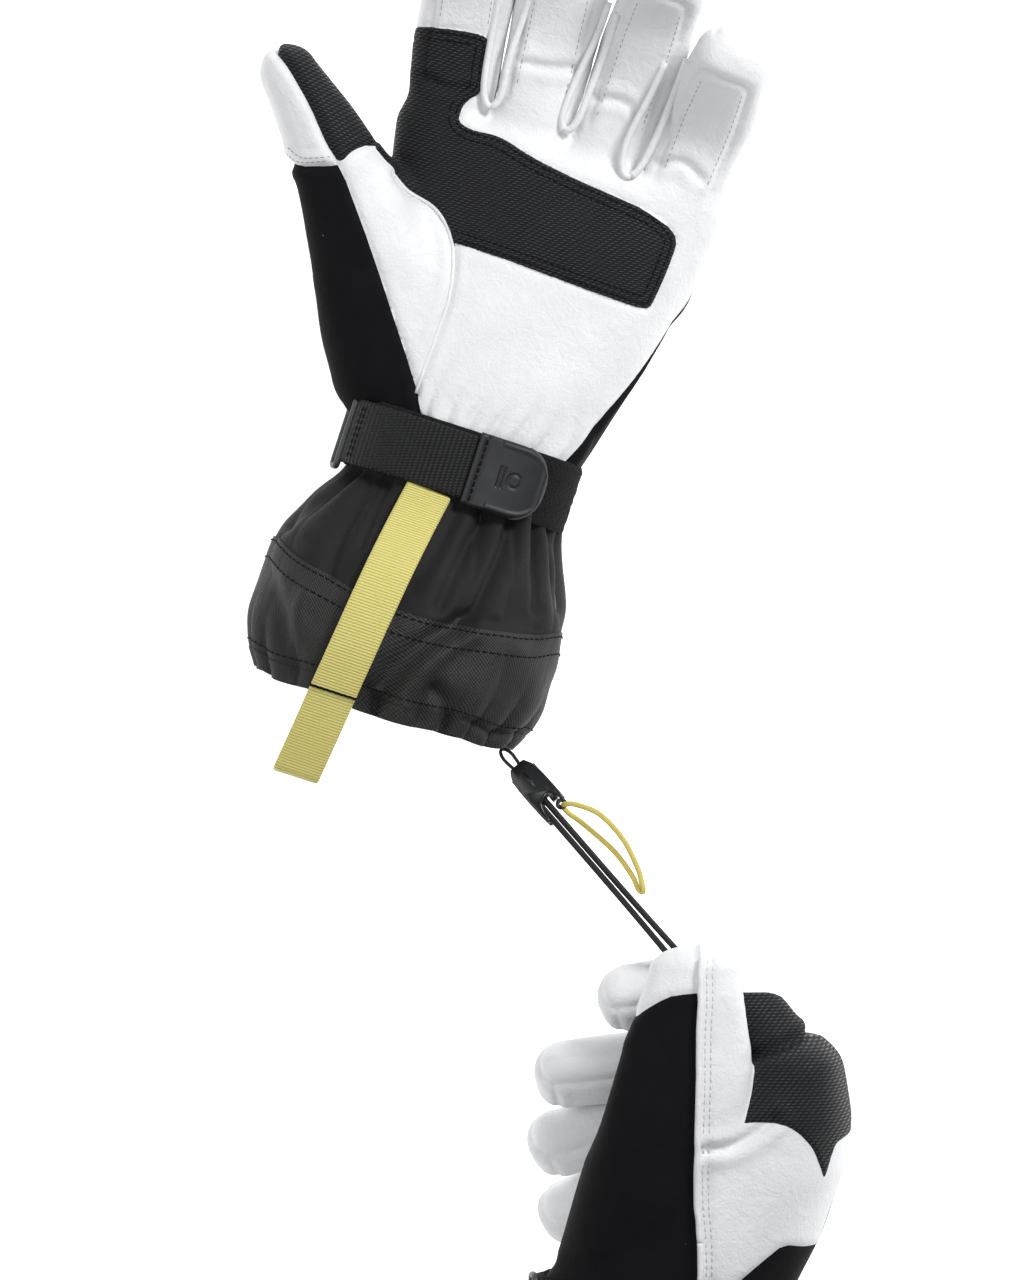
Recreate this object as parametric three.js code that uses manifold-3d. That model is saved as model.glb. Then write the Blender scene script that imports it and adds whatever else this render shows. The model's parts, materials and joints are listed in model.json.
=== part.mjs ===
// A pair of insulated gauntlet gloves for handling very cold things, lying on a table.
// The left glove lies on its back with the palm up and the fingers a little curled. The right glove lies on
// its side, closed round the elastic drawcord of the left cuff, which it has pulled through the cord lock.
// Millimetres, +Z up, +Y towards the fingertips of the left glove.
import * as THREE from "three";
import { mergeVertices } from "three/addons/utils/BufferGeometryUtils.js";
import Module from "manifold-3d";

const wasm = await Module();
wasm.setup();

// ---- driving dimensions --------------------------------------------------------------------------------

const WALL = 3.4; // leather or softshell with its insulation
const GAP = 0.5; // between pieces that touch
const STRAP_WIDTH = 25; // one inch wrist webbing
const PULLER_WIDTH = 18; // webbing of the loop that pulls the glove on
const TAPE = 1.5; // one layer of webbing or reinforcement
const CORD = 2.4; // elastic drawcord
const CUFF_WALL = 2.4;
const SIDES = 10; // corners of a finger's section
const BODY_SIDES = 20; // corners of a hand's or cuff's section
const PATCHED = ["index", "thumb"]; // digits with pieces sewn over their skin
const REST_PLANE = 1.2; // soft undersides are flattened up to this height by lying on the table

// Each glove has its own frame, at the middle of the wrist strap on the table.
const LEFT_PLACE = { x: -19.25, y: 67.4, turn: -18 };
const RIGHT_PLACE = { x: 62.8, y: -258.7, turn: 0 };

// Fingers of the left glove. base is where the finger bends from the palm, lean is its angle across the
// palm, lengths and pitches are the three bones and how far each rises out of the palm.
const LEFT_FINGERS = {
  index: { base: [-46.6, 124, 26], lean: -10, lengths: [35, 26, 23], pitches: [8, 24, 38], wide: 31 },
  middle: { base: [-14.4, 130, 26], lean: -3.5, lengths: [38, 28, 24], pitches: [8, 25, 42], wide: 30 },
  ring: { base: [16.3, 127, 26], lean: 3.8, lengths: [36, 27, 23], pitches: [10, 30, 46], wide: 29 },
  little: { base: [46.6, 116, 26], lean: 4.4, lengths: [31, 24, 22], pitches: [12, 35, 50], wide: 29 },
};
const LEFT_FLEX = [-8, 50]; // degrees that a finger bends back and towards the palm
const LEFT_THUMB = {
  path: [[-43, 42, 31], [-58.5, 67, 37], [-82.8, 96.6, 43], [-100.9, 115, 46], [-110, 123.5, 47]],
  half: [[27, 22], [25.5, 20], [20, 17], [15.5, 14], [11.5, 11.5]],
  axis: [0.765, 0.645, 0],
  flex: [0, 30],
};

// The right glove is closed: each finger is a base, a middle knuckle and a tip.
const RIGHT_FINGERS = {
  index: { path: [[42.4, 97, 70], [24, 118, 64.5], [2, 123.5, 58.5], [-20.4, 122, 54.5]], wide: 25 },
  middle: { path: [[44, 80.5, 51.2], [7, 95, 47.5], [-16, 93.5, 43], [-39.7, 88.5, 40]], wide: 24.6 },
  ring: { path: [[40, 65, 32], [2, 73.5, 31], [-20, 70, 29], [-43, 62, 27]], wide: 24.4 },
  little: { path: [[31, 49, 14.5], [-3, 51, 15.5], [-22, 44, 15], [-40.5, 34.5, 14.5]], wide: 24 },
};
const KNUCKLE_AXIS = [0.15, 0.63, 0.76]; // along the right glove's row of knuckles
const RIGHT_FLEX = [-30, 0];
const RIGHT_THUMB = {
  path: [[-9, 30, 68], [-3.9, 52, 76], [1.2, 82, 88], [5.8, 118, 94.5], [6.6, 133, 95]],
  half: [[33, 23], [32, 21], [28, 16.5], [23, 12.5], [16, 10]],
  axis: [1, 0, 0],
  flex: [0, 25],
};

// Hand bodies: centre, half width and half thickness of the section at each station, from the wrist on.
const LEFT_HAND = [
  { at: [0, -14, 28.5], half: [41, 25] },
  { at: [0, 10, 28], half: [42.5, 25.4] },
  { at: [2, 40, 27], half: [49, 26.6] },
  { at: [3, 72, 26.3], half: [56, 25.4] },
  { at: [2, 100, 26], half: [62, 22] },
  { at: [0.2, 130, 26], half: [67, 18] },
];
const RIGHT_HAND = [
  { at: [-5, -14, 52], half: [42, 37] },
  { at: [-2, 12, 52], half: [49, 38] },
  { at: [12, 32, 51], half: [45, 42] },
  { at: [30, 54, 50], half: [35, 46] },
  { at: [40, 76, 50], half: [27, 48] },
  { at: [44, 98, 49], half: [20, 46] },
  { at: [46, 107, 49], half: [13, 38] },
];

// Gauntlets: stations from the wrist to the hem.
const LEFT_CUFF = [
  { at: [1, -15, 27.5], half: [43, 26.5] },
  { at: [-1, -27, 32], half: [50, 31] },
  { at: [-1.5, -42, 37], half: [58, 36.5] },
  { at: [-1.5, -62, 40], half: [61.5, 40] },
  { at: [-1, -80, 41], half: [60, 39.5] },
  { at: [-0.5, -92, 41], half: [56, 37] },
  { at: [0, -98, 41], half: [52, 35] },
];
const RIGHT_CUFF = [
  { at: [-5, -15, 52], half: [43, 38] },
  { at: [-5, -27, 50.5], half: [48, 41] },
  { at: [-5, -42, 49], half: [55, 45] },
  { at: [-5, -62, 48], half: [58, 47.5] },
  { at: [-5, -80, 47.5], half: [57, 47] },
  { at: [-5, -92, 47], half: [53, 45] },
  { at: [-5, -98, 47], half: [50, 43] },
];
const CUFF_SPLIT = 3; // station where the upper cuff panel meets the lower one
const HEM_SPLIT = 5; // station where the lower panel meets the hem

// ---- colours and materials -----------------------------------------------------------------------------

const FINISH = {
  leather: { color: 0xf1f2f4, roughness: 0.55 },
  softshell: { color: 0x0e0f11, roughness: 0.9 },
  grip: { color: 0x1c1e21, roughness: 0.6 },
  cuff: { color: 0x18191a, roughness: 0.95 },
  lining: { color: 0x2a2c30, roughness: 1 },
  webbing: { color: 0x0c0d0e, roughness: 0.7 },
  yellow: { color: 0xcfc05a, roughness: 0.75 },
  rubber: { color: 0x202225, roughness: 0.5 },
  plastic: { color: 0x17181a, roughness: 0.35 },
  ring: { color: 0x3c3f43, roughness: 0.5 },
  cord: { color: 0x0b0b0c, roughness: 0.6 },
};
const materials = Object.fromEntries(
  Object.entries(FINISH).map(([name, look]) => [
    name,
    new THREE.MeshStandardMaterial({ ...look, metalness: 0 }),
  ]),
);

// ---- helpers -------------------------------------------------------------------------------------------

const vec = (p) => new THREE.Vector3(...p);
const rad = THREE.MathUtils.degToRad;

// A closed geometry as a manifold solid.
function solid(geometry) {
  const bare = geometry.index ? geometry.toNonIndexed() : geometry.clone();
  bare.deleteAttribute("normal");
  bare.deleteAttribute("uv");
  const merged = mergeVertices(bare, 1e-4);
  const made = new wasm.Mesh({
    numProp: 3,
    vertProperties: merged.attributes.position.array,
    triVerts: new Uint32Array(merged.index.array),
  });
  return new wasm.Manifold(made);
}

// A manifold solid, less its crumbs, as a named mesh.
function piece(name, made, look) {
  const parts = made.decompose();
  const main = parts.reduce((a, b) => (b.volume() > a.volume() ? b : a));
  const mesh = main.getMesh();
  const geometry = new THREE.BufferGeometry();
  geometry.setAttribute("position", new THREE.BufferAttribute(new Float32Array(mesh.vertProperties), 3));
  geometry.setIndex(new THREE.BufferAttribute(new Uint32Array(mesh.triVerts), 1));
  geometry.computeVertexNormals();
  const node = new THREE.Mesh(geometry, materials[look]);
  node.name = name;
  return node;
}

// A closed loft through rounded rectangular sections: [{ at, u, v, half: [a, b] }].
function loft(stations, sides, power = 2.6) {
  const points = [];
  const index = [];
  const round = (t) => Math.sign(t) * Math.abs(t) ** (2 / power);
  for (const { at, u, v, half } of stations) {
    for (let k = 0; k < sides; k++) {
      const angle = (2 * Math.PI * (k + 0.5)) / sides;
      const p = vec(at).addScaledVector(u, half[0] * round(Math.cos(angle)));
      points.push(p.addScaledVector(v, half[1] * round(Math.sin(angle))));
    }
  }
  const last = stations.length - 1;
  const ends = [points.push(vec(stations[0].at)) - 1, points.push(vec(stations[last].at)) - 1];
  for (let k = 0; k < sides; k++) {
    const next = (k + 1) % sides;
    for (let s = 0; s < last; s++) {
      const [a, b] = [s * sides + k, s * sides + next];
      index.push(a, b, b + sides, a, b + sides, a + sides);
    }
    index.push(ends[0], next, k, ends[1], last * sides + k, last * sides + next);
  }
  const geometry = new THREE.BufferGeometry().setFromPoints(points);
  geometry.setIndex(index);
  const made = solid(geometry);
  if (made.volume() > 0) return made;
  geometry.setIndex(index.map((_, i) => index[i - (i % 3) + ((3 - (i % 3)) % 3)]));
  return solid(geometry);
}

// Stations of a body that runs along Y: width across X, thickness along Z.
function bodyStations(stations, grow = 0) {
  return stations.map(({ at, half }) => ({
    at,
    u: vec([1, 0, 0]),
    v: vec([0, 0, 1]),
    half: [half[0] + grow, half[1] + grow],
  }));
}

// An open sleeve between two skins, from station `from` to station `to`.
function sleeve(stations, wall, grow = 0, sides = BODY_SIDES) {
  const outer = loft(bodyStations(stations, grow), sides);
  const [first, last] = [stations[0], stations[stations.length - 1]];
  const reach = (a, b) => {
    const step = vec(a.at).sub(vec(b.at)).normalize().multiplyScalar(4);
    return { at: vec(a.at).add(step).toArray(), half: a.half };
  };
  const long = [reach(first, stations[1]), ...stations, reach(last, stations[stations.length - 2])];
  return outer.subtract(loft(bodyStations(long, grow - wall), sides));
}

// A digit's skin: a tapering tube along path, rounded at its tip. across is the direction of its width.
function digitSkin(path, half, across, grow, back = 0) {
  const curve = new THREE.CatmullRomCurve3(path.map(vec), false, "centripetal");
  const rings = [];
  const count = 6;
  const sizeAt = (t) => {
    const place = t * (half.length - 1);
    const i = Math.min(Math.floor(place), half.length - 2);
    return [0, 1].map((k) => THREE.MathUtils.lerp(half[i][k], half[i + 1][k], place - i) + grow);
  };
  const ring = (t, along, shrink) => {
    const tangent = curve.getTangentAt(t);
    const v = tangent.clone().cross(across).normalize();
    const u = v.clone().cross(tangent).normalize();
    const at = curve.getPointAt(t).addScaledVector(tangent, along);
    return { at: at.toArray(), u, v, half: sizeAt(t).map((s) => s * shrink) };
  };
  if (back > 0) rings.push(ring(0, -back, 1));
  for (let k = 0; k < count; k++) rings.push(ring(k / (count - 1), 0, 1));
  const dome = Math.min(...half[half.length - 1]) + grow;
  for (const angle of [40, 74]) rings.push(ring(1, dome * Math.sin(rad(angle)), Math.cos(rad(angle))));
  return loft(rings, SIDES);
}

// A solid turned about an axis through a point, in degrees.
function turned(made, point, axis, degrees) {
  const there = new THREE.Matrix4().makeTranslation(...point);
  const back = new THREE.Matrix4().makeTranslation(...point.map((x) => -x));
  const spin = new THREE.Matrix4().makeRotationAxis(vec(axis).normalize(), rad(degrees));
  return made.transform(there.multiply(spin).multiply(back).elements);
}

// The room that a digit's base takes in the hand while it bends from low to high, or with `whole` all of it.
function baseRoom(path, half, across, grow, axis, [low, high], whole) {
  const way = vec(path[1]).sub(vec(path[0])).normalize();
  const v = way.clone().cross(across).normalize();
  const u = v.clone().cross(way).normalize();
  const ring = (along) => ({
    at: vec(path[0]).addScaledVector(way, along).toArray(),
    u,
    v,
    half: half[0].map((size) => size + grow),
  });
  const skin = digitSkin(path, half, across, grow);
  const stub = loft([ring(-0.6), ring(30)], SIDES);
  const moving = whole ? stub.add(skin) : stub;
  const steps = whole ? 6 : 2;
  let room = skin;
  for (let k = 0; k <= steps; k++) {
    room = room.add(turned(moving, path[0], axis, low + ((high - low) * k) / steps));
  }
  return room;
}

// A vertical prism over an outline of [x, y] points.
function prism(outline, low, high) {
  const shape = new THREE.Shape(outline.map(([x, y]) => new THREE.Vector2(x, y)));
  const geometry = new THREE.ExtrudeGeometry(shape, { depth: high - low, bevelEnabled: false });
  return solid(geometry.translate(0, 0, low));
}

function box(size, at) {
  return solid(new THREE.BoxGeometry(...size).translate(...at));
}

// A flat strap along points: its width lies along `across`, its thickness is `thick`.
function strap(points, wide, thick, across, count = 10) {
  const curve = new THREE.CatmullRomCurve3(points.map(vec), false, "centripetal");
  const rings = [];
  for (let k = 0; k <= count; k++) {
    const tangent = curve.getTangentAt(k / count);
    const v = tangent.clone().cross(across).normalize();
    const u = v.clone().cross(tangent).normalize();
    rings.push({ at: curve.getPointAt(k / count).toArray(), u, v, half: [wide / 2, thick / 2] });
  }
  return loft(rings, 4, 1000);
}

// ---- one glove -----------------------------------------------------------------------------------------

// Digits of a glove by name: each one's stall with its finger hole, and the room that it needs in the hand.
function digits(fingers, thumb, flex, whole = false) {
  const made = {};
  const add = (name, path, half, across, axis, range) => {
    const outer = digitSkin(path, half, across, 0);
    const inner = digitSkin(path, half, across, -WALL, 4);
    const grow = PATCHED.includes(name) ? GAP + 2 : GAP + 0.1;
    const space = baseRoom(path, half, across, grow, axis, range, whole);
    made[name] = { hollow: outer.subtract(inner), space, path, half, across };
  };
  for (const [name, finger] of Object.entries(fingers)) {
    const across = vec(finger.across);
    add(name, finger.path, finger.half, across, finger.axis, flex);
  }
  add("thumb", thumb.path, thumb.half, vec(thumb.across), thumb.axis, thumb.flex);
  return made;
}

// A left finger's path, section and axis from its bones.
function leftFinger({ base, lean, lengths, pitches, wide }) {
  const path = [base];
  lengths.forEach((length, k) => {
    const [flat, up] = [length * Math.cos(rad(pitches[k])), length * Math.sin(rad(pitches[k]))];
    const [x, y, z] = path[k];
    path.push([x + flat * Math.sin(rad(lean)), y + flat * Math.cos(rad(lean)), z + up]);
  });
  const across = [Math.cos(rad(lean)), -Math.sin(rad(lean)), 0];
  const w = wide / 2;
  const half = [[w - 0.4, 13.6], [w - 0.6, 13.4], [w - 1.2, 12.8], [w - 2.2, 11.8]];
  return { path, half, across, axis: across };
}

function rightFinger({ path, wide }) {
  const half = [[wide / 2, 12.6], [wide / 2, 12.6], [wide / 2 - 0.4, 12.4], [wide / 2 - 1.4, 11.6]];
  return { path, half, across: KNUCKLE_AXIS, axis: KNUCKLE_AXIS };
}

const mapValues = (object, change) =>
  Object.fromEntries(Object.entries(object).map(([key, value]) => [key, change(value)]));

// Palm and back shells, liner, gauntlet and hem of one glove. split is the outline, in plan or from the
// side, that the palm's half fills.
function glove(side, hand, cuff, made, palmHalf, liner) {
  const nodes = [];
  const table = box([400, 400, 20], [0, 0, REST_PLANE - 10]);
  const rooms = Object.values(made).reduce((all, digit) => all.add(digit.space), box([1, 1, 1], [0, 0, -50]));
  const shell = sleeve(hand, WALL).subtract(rooms).subtract(table);
  nodes.push(piece(`${side}_palm_panel`, shell.intersect(palmHalf.palm), "leather"));
  nodes.push(piece(`${side}_back_panel`, shell.intersect(palmHalf.back), "softshell"));
  for (const [name, digit] of Object.entries(made)) {
    const node = name === "thumb" ? `${side}_thumb` : `${side}_${name}_finger`;
    nodes.push(piece(node, digit.hollow.subtract(table), "leather"));
  }
  const lining = sleeve(liner, 1.6, 0, 16).subtract(rooms);
  nodes.push(piece(`${side}_liner`, lining, "lining"));
  const apart = (stations, from, to) => {
    const run = stations.slice(from, to + 1).map(({ at, half }) => ({ at: [...at], half }));
    if (from > 0) run[0].at[1] -= GAP;
    return run;
  };
  const parts = [
    ["cuff_upper", 0, CUFF_SPLIT],
    ["cuff_lower", CUFF_SPLIT, HEM_SPLIT],
    ["cuff_hem", HEM_SPLIT, 6],
  ];
  for (const [name, from, to] of parts) {
    const thick = name === "cuff_hem" ? CUFF_WALL + 1.2 : CUFF_WALL;
    nodes.push(piece(`${side}_${name}`, sleeve(apart(cuff, from, to), thick).subtract(table), "cuff"));
  }
  return nodes;
}

// A conforming patch: the layer from `low` to `high` outside a skin, inside an outline prism.
const layer = (skin, low, high, within) => skin(high).subtract(skin(low)).intersect(within);

// The wrist closure: a loop-faced band, a ring, and a strap that turns back through the ring to a rubber
// pull tab. z is the height of the wrist's middle, half its section.
function wristClosure(side, skin, [cx, cz], [a, b], keeperLift) {
  const nodes = [];
  const wide = STRAP_WIDTH + 2;
  const room = box([300, wide, 300], [0, 0.6, 0]);
  const table = box([400, 400, 20], [0, 0, REST_PLANE - 10]);
  const band = layer(skin, GAP, GAP + TAPE, room).subtract(table);
  nodes.push(piece(`${side}_wrist_band`, band, "webbing"));
  // Points on an oval round the wrist, `out` beyond the hand, at an angle from +X over the front.
  const power = 2.6;
  const round = (t) => Math.sign(t) * Math.abs(t) ** (2 / power);
  const onOval = (degrees, out) => {
    const x = (a + out) * round(Math.cos(rad(degrees)));
    return [cx + x, 0, cz + (b + out) * round(Math.sin(rad(degrees)))];
  };
  const arc = (from, to, out, count = 8) =>
    Array.from({ length: count + 1 }, (_, k) => onOval(from + ((to - from) * k) / count, out));
  const acrossWrist = vec([0, 1, 0]);
  const over = GAP + TAPE + GAP; // clear of the band
  const lift = over + TAPE + 1.2;
  const webbing = strap(arc(158, 88, lift), STRAP_WIDTH, TAPE, acrossWrist, 12);
  nodes.push(piece(`${side}_strap`, webbing, "webbing"));
  const under = strap(arc(86, 62, over + 0.9), STRAP_WIDTH - 3, 1.2, acrossWrist, 4);
  nodes.push(piece(`${side}_hook_patch`, under, "webbing"));
  const tab = strap(arc(86.5, 55, lift + 0.6), STRAP_WIDTH + 3, 2.4, acrossWrist, 5);
  nodes.push(piece(`${side}_strap_tab`, tab, "rubber"));
  const [ringIn, ringOut] = [onOval(176, lift + 0.6), onOval(164, lift + 0.6)];
  const middle = ringIn.map((v, k) => (v + ringOut[k]) / 2);
  const lean = Math.atan2(ringOut[2] - ringIn[2], ringOut[0] - ringIn[0]);
  const window = box([7.4, STRAP_WIDTH + 1.6, 8], [0, 0, 0]);
  const frame = box([12, STRAP_WIDTH + 7, 2.2], [0, 0, 0]).subtract(window);
  const flat = turned(frame, [0, 0, 0], [0, 1, 0], -THREE.MathUtils.radToDeg(lean));
  nodes.push(piece(`${side}_strap_ring`, flat.translate(middle), "ring"));
  const keeper = strap(arc(206, 181, over + keeperLift), STRAP_WIDTH, TAPE, acrossWrist, 6);
  nodes.push(piece(`${side}_ring_keeper`, keeper, "webbing"));
  return nodes;
}

// The webbing loop that pulls the glove on, sewn in below the strap and lying down the gauntlet.
function puller(side, points, stitchAt) {
  const across = vec([1, 0, 0]);
  const curve = new THREE.CatmullRomCurve3(points.map(vec), false, "centripetal");
  const nodes = [piece(`${side}_puller`, strap(points, PULLER_WIDTH, 2.6, across, 12), "yellow")];
  const at = curve.getPointAt(stitchAt);
  const tangent = curve.getTangentAt(stitchAt);
  const normal = across.clone().cross(tangent).normalize();
  const over = at.clone().addScaledVector(normal, 2);
  const ends = [-0.6, 0.6].map((d) => over.clone().addScaledVector(tangent, d).toArray());
  nodes.push(piece(`${side}_puller_bartack`, strap(ends, PULLER_WIDTH - 1, 0.7, across, 1), "webbing"));
  return nodes;
}

// ---- the left glove ------------------------------------------------------------------------------------

const leftThumb = { ...LEFT_THUMB, across: LEFT_THUMB.axis };
const leftMade = digits(mapValues(LEFT_FINGERS, leftFinger), leftThumb, LEFT_FLEX);
const leftSplit = 26.5; // height of the seam between palm and back
const leftHalves = {
  palm: box([300, 400, 100], [0, 60, leftSplit + GAP / 2 + 50]),
  back: box([300, 400, 100], [0, 60, leftSplit - GAP / 2 - 50]),
};
const leftLiner = [
  { at: [0, -34, 31], half: [36, 20] },
  { at: [0, -10, 27.5], half: [34.5, 18.5] },
  { at: [2, 40, 27], half: [42, 19.5] },
  { at: [3, 88, 26.5], half: [51, 17] },
];
const leftNodes = glove("left", LEFT_HAND, LEFT_CUFF, leftMade, leftHalves, leftLiner);
const leftRooms = Object.values(leftMade).map((digit) => digit.space);

const leftSkin = (grow) => loft(bodyStations(LEFT_HAND, grow), BODY_SIDES);
const patchOutline = [[-62, 100], [-29, 82], [50.5, 78], [53.5, 111.5], [7, 120.5], [-24, 124], [-62, 128]];
const palmPatch = leftRooms.reduce(
  (made, room) => made.subtract(room),
  layer(leftSkin, GAP, GAP + TAPE, prism(patchOutline, 30, 70)),
);
leftNodes.push(piece("left_palm_patch", palmPatch, "grip"));

// Pieces sewn over a digit: the layer outside its skin, cut by a turned box.
function digitLayer(side, name, digit, within, look) {
  const skin = (grow) => digitSkin(digit.path, digit.half, digit.across, grow);
  return piece(`${side}_${name}`, layer(skin, 0.2, 0.2 + 1.3, within), look);
}
const alongThumb = Math.atan2(0.765, -0.645) * THREE.MathUtils.RAD2DEG;
const leftTip = [-93, 107, 46];
// Half of the room round the left thumb's tip: sign -1 is the side of the thumb's back, 1 the palm's side.
const leftTipBox = (sign) =>
  turned(box([60, 46, 60], [30.4 * sign, 14, 0]), [0, 0, 0], [0, 0, 1], alongThumb - 90).translate(leftTip);
leftNodes.push(
  digitLayer("left", "thumb_cap", leftMade.thumb, leftTipBox(-1), "leather"),
  digitLayer("left", "thumb_patch", leftMade.thumb, leftTipBox(1), "grip"),
);
const indexBox = turned(box([60, 34, 60], [0, 20, 0]), [0, 0, 0], [0, 0, 1], 10);
const indexPatchRoom = indexBox.translate([-47, 124, 41]);
leftNodes.push(digitLayer("left", "index_patch", leftMade.index, indexPatchRoom, "grip"));

leftNodes.push(...wristClosure("left", leftSkin, [0, 28.2], [42.5, 25.4], 1));
const leftPullerPath = [
  [-9, -16.5, 58.5], [-11.5, -30, 69], [-13.5, -45, 78.4], [-15.5, -62, 83],
  [-17.5, -80, 83.4], [-19.5, -97, 79.5],
  [-21.5, -115, 74], [-23.5, -132, 67],
];
leftNodes.push(...puller("left", leftPullerPath, 0.72));

// ---- the right glove -----------------------------------------------------------------------------------

const rightThumb = { ...RIGHT_THUMB, across: RIGHT_THUMB.axis };
const rightMade = digits(mapValues(RIGHT_FINGERS, rightFinger), rightThumb, RIGHT_FLEX, true);
// The hand's own middle line in plan parts the palm, on the left, from the back.
const spine = RIGHT_HAND.map(({ at: [x, y] }) => [x, y]);
const ends = { low: [spine[0][0], -40], high: [spine[6][0], 160] };
const shifted = (dx) => [ends.low, ...spine, ends.high].map(([x, y]) => [x + dx, y]);
const rightHalves = {
  palm: prism([...shifted(-GAP / 2), [-150, 160], [-150, -40]], -20, 160),
  back: prism([...shifted(GAP / 2), [200, 160], [200, -40]], -20, 160),
};
const rightLiner = [
  { at: [-5, -34, 50], half: [37, 34] },
  { at: [-5, -10, 51], half: [36, 32] },
  { at: [-1, 16, 51], half: [40, 33] },
  { at: [14, 38, 51], half: [34, 36] },
];
const rightNodes = glove("right", RIGHT_HAND, RIGHT_CUFF, rightMade, rightHalves, rightLiner);
const rightTipBox = (sign, from) => box([60, 60, 60], [6 + sign * 30.4, from + 30, 90]);
const rightPatchBox = rightTipBox(1, 100).intersect(box([200, 400, 60], [0, 0, 112]));
rightNodes.push(
  digitLayer("right", "thumb_cap", rightMade.thumb, rightTipBox(-1, 112), "leather"),
  digitLayer("right", "thumb_patch", rightMade.thumb, rightPatchBox, "grip"),
);
const rightSkin = (grow) => loft(bodyStations(RIGHT_HAND, grow), BODY_SIDES);
const rightPatchOutline = [[28, 46], [49, 60], [68, 84], [62, 108], [34, 108], [27, 80]];
const rightPatch = Object.values(rightMade).reduce(
  (made, digit) => made.subtract(digit.space),
  layer(rightSkin, GAP, GAP + TAPE, prism(rightPatchOutline, 55, 110)),
);
rightNodes.push(piece("right_palm_patch", rightPatch, "grip"));
rightNodes.push(...wristClosure("right", rightSkin, [-3.5, 52], [46, 38], 3));
const rightPullerPath = [
  [8, -16.5, 93.2], [7, -30, 95.8], [6, -45, 98.4], [5, -62, 99.8], [4, -80, 98.8], [3, -97, 95],
  [2, -115, 89], [1, -132, 82],
];
rightNodes.push(...puller("right", rightPullerPath, 0.72));

// ---- the drawcord of the left cuff and its lock --------------------------------------------------------

const LOCK_START = [2.3, -49.1, 43.8]; // end of the anchor tab at the hem, in the pair's frame
const CORD_WAY = [0.632, -0.722, 0.282]; // from the lock to the grip of the right glove
const along = vec(CORD_WAY).normalize();
const beside = vec([0, 0, 1]).cross(along).normalize();
const above = along.clone().cross(beside);
const lockFrame = new THREE.Group();
lockFrame.position.set(...LOCK_START);
lockFrame.quaternion.setFromRotationMatrix(new THREE.Matrix4().makeBasis(along, beside, above));

const LOCK = { length: 16, wide: 11, high: 7.6, arm: 9 };
const lockOutline = new THREE.Shape();
lockOutline.moveTo(0, -3.4);
lockOutline.lineTo(3, -LOCK.wide / 2);
lockOutline.lineTo(LOCK.length + LOCK.arm, -LOCK.wide / 2);
lockOutline.lineTo(LOCK.length + LOCK.arm, -LOCK.wide / 2 + 2);
lockOutline.quadraticCurveTo(LOCK.length + 1, -LOCK.wide / 2 + 2.4, LOCK.length, -LOCK.wide / 2 + 5);
lockOutline.lineTo(LOCK.length + 1.6, LOCK.wide / 2);
lockOutline.lineTo(3, LOCK.wide / 2);
lockOutline.lineTo(0, 3.4);
const lockBlock = solid(
  new THREE.ExtrudeGeometry(lockOutline, {
    depth: LOCK.high - 1.6,
    bevelThickness: 0.8,
    bevelSize: 0.6,
    bevelOffset: -0.6,
    bevelSegments: 1,
    curveSegments: 4,
  }).translate(0, 0, -(LOCK.high - 1.6) / 2),
);
const WEDGE_Y = 2.6; // the wedge lies beside the cords
const EYE_Y = 3.3; // the eye at the wedge's end, which holds the release loop
const CORD_Y = -1.9;
const cordChannel = box([40, 5.6, 3.2], [10, CORD_Y, 0]);
const wedgeSlot = box([30, 3.4, 3.6], [10 + 6, WEDGE_Y, 0]);
// A cylinder across the wedge's eye.
const eyeRod = (radius, length, sides, x) => {
  const rod = new THREE.CylinderGeometry(radius, radius, length, sides);
  return solid(rod.rotateX(Math.PI / 2).translate(x, EYE_Y, 0));
};
const lockNodes = [
  piece("left_lock_body", lockBlock.subtract(cordChannel).subtract(wedgeSlot), "plastic"),
  piece(
    "left_lock_wedge",
    box([17, 2.4, 2.6], [13.5, WEDGE_Y, 0])
      .add(eyeRod(1.9, 2.6, 12, 23))
      .subtract(eyeRod(0.9, 6, 8, 23.2)),
    "plastic",
  ),
  piece("left_lock_anchor", box([7, 5, 1.4], [-4, 0, 0]), "webbing"),
];
// The release loop is tied through the eye of the wedge and trails along the cords.
const loopPath = [
  [23.2, EYE_Y, -2.6], [25.5, EYE_Y - 0.4, -2.8], [34, EYE_Y + 1.5, -2.4], [50, EYE_Y + 3.5, -1.2],
  [62, EYE_Y + 2.5, 0], [70, EYE_Y + 0.5, 0.6],
];
const loopBack = [
  [23.2, EYE_Y, 2.8], [26, EYE_Y + 2.5, 3.2], [37, EYE_Y + 8, 3.4], [50, EYE_Y + 8.2, 2.6],
  [62, EYE_Y + 5, 1.8], [70, EYE_Y + 1.5, 1.8],
];
const flatUp = above.clone().set(0, 0, 1);
const pullLoop = strap(loopPath, 2.4, 0.8, flatUp, 10)
  .add(strap(loopBack, 2.4, 0.8, flatUp, 10))
  .add(box([1.1, 1.1, 6.2], [23.2, EYE_Y, 0]))
  .add(box([5, 2.4, 3.4], [69, EYE_Y + 1, 1.2]));
lockNodes.push(piece("left_lock_pull", pullLoop, "yellow"));
lockFrame.add(...lockNodes);

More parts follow.
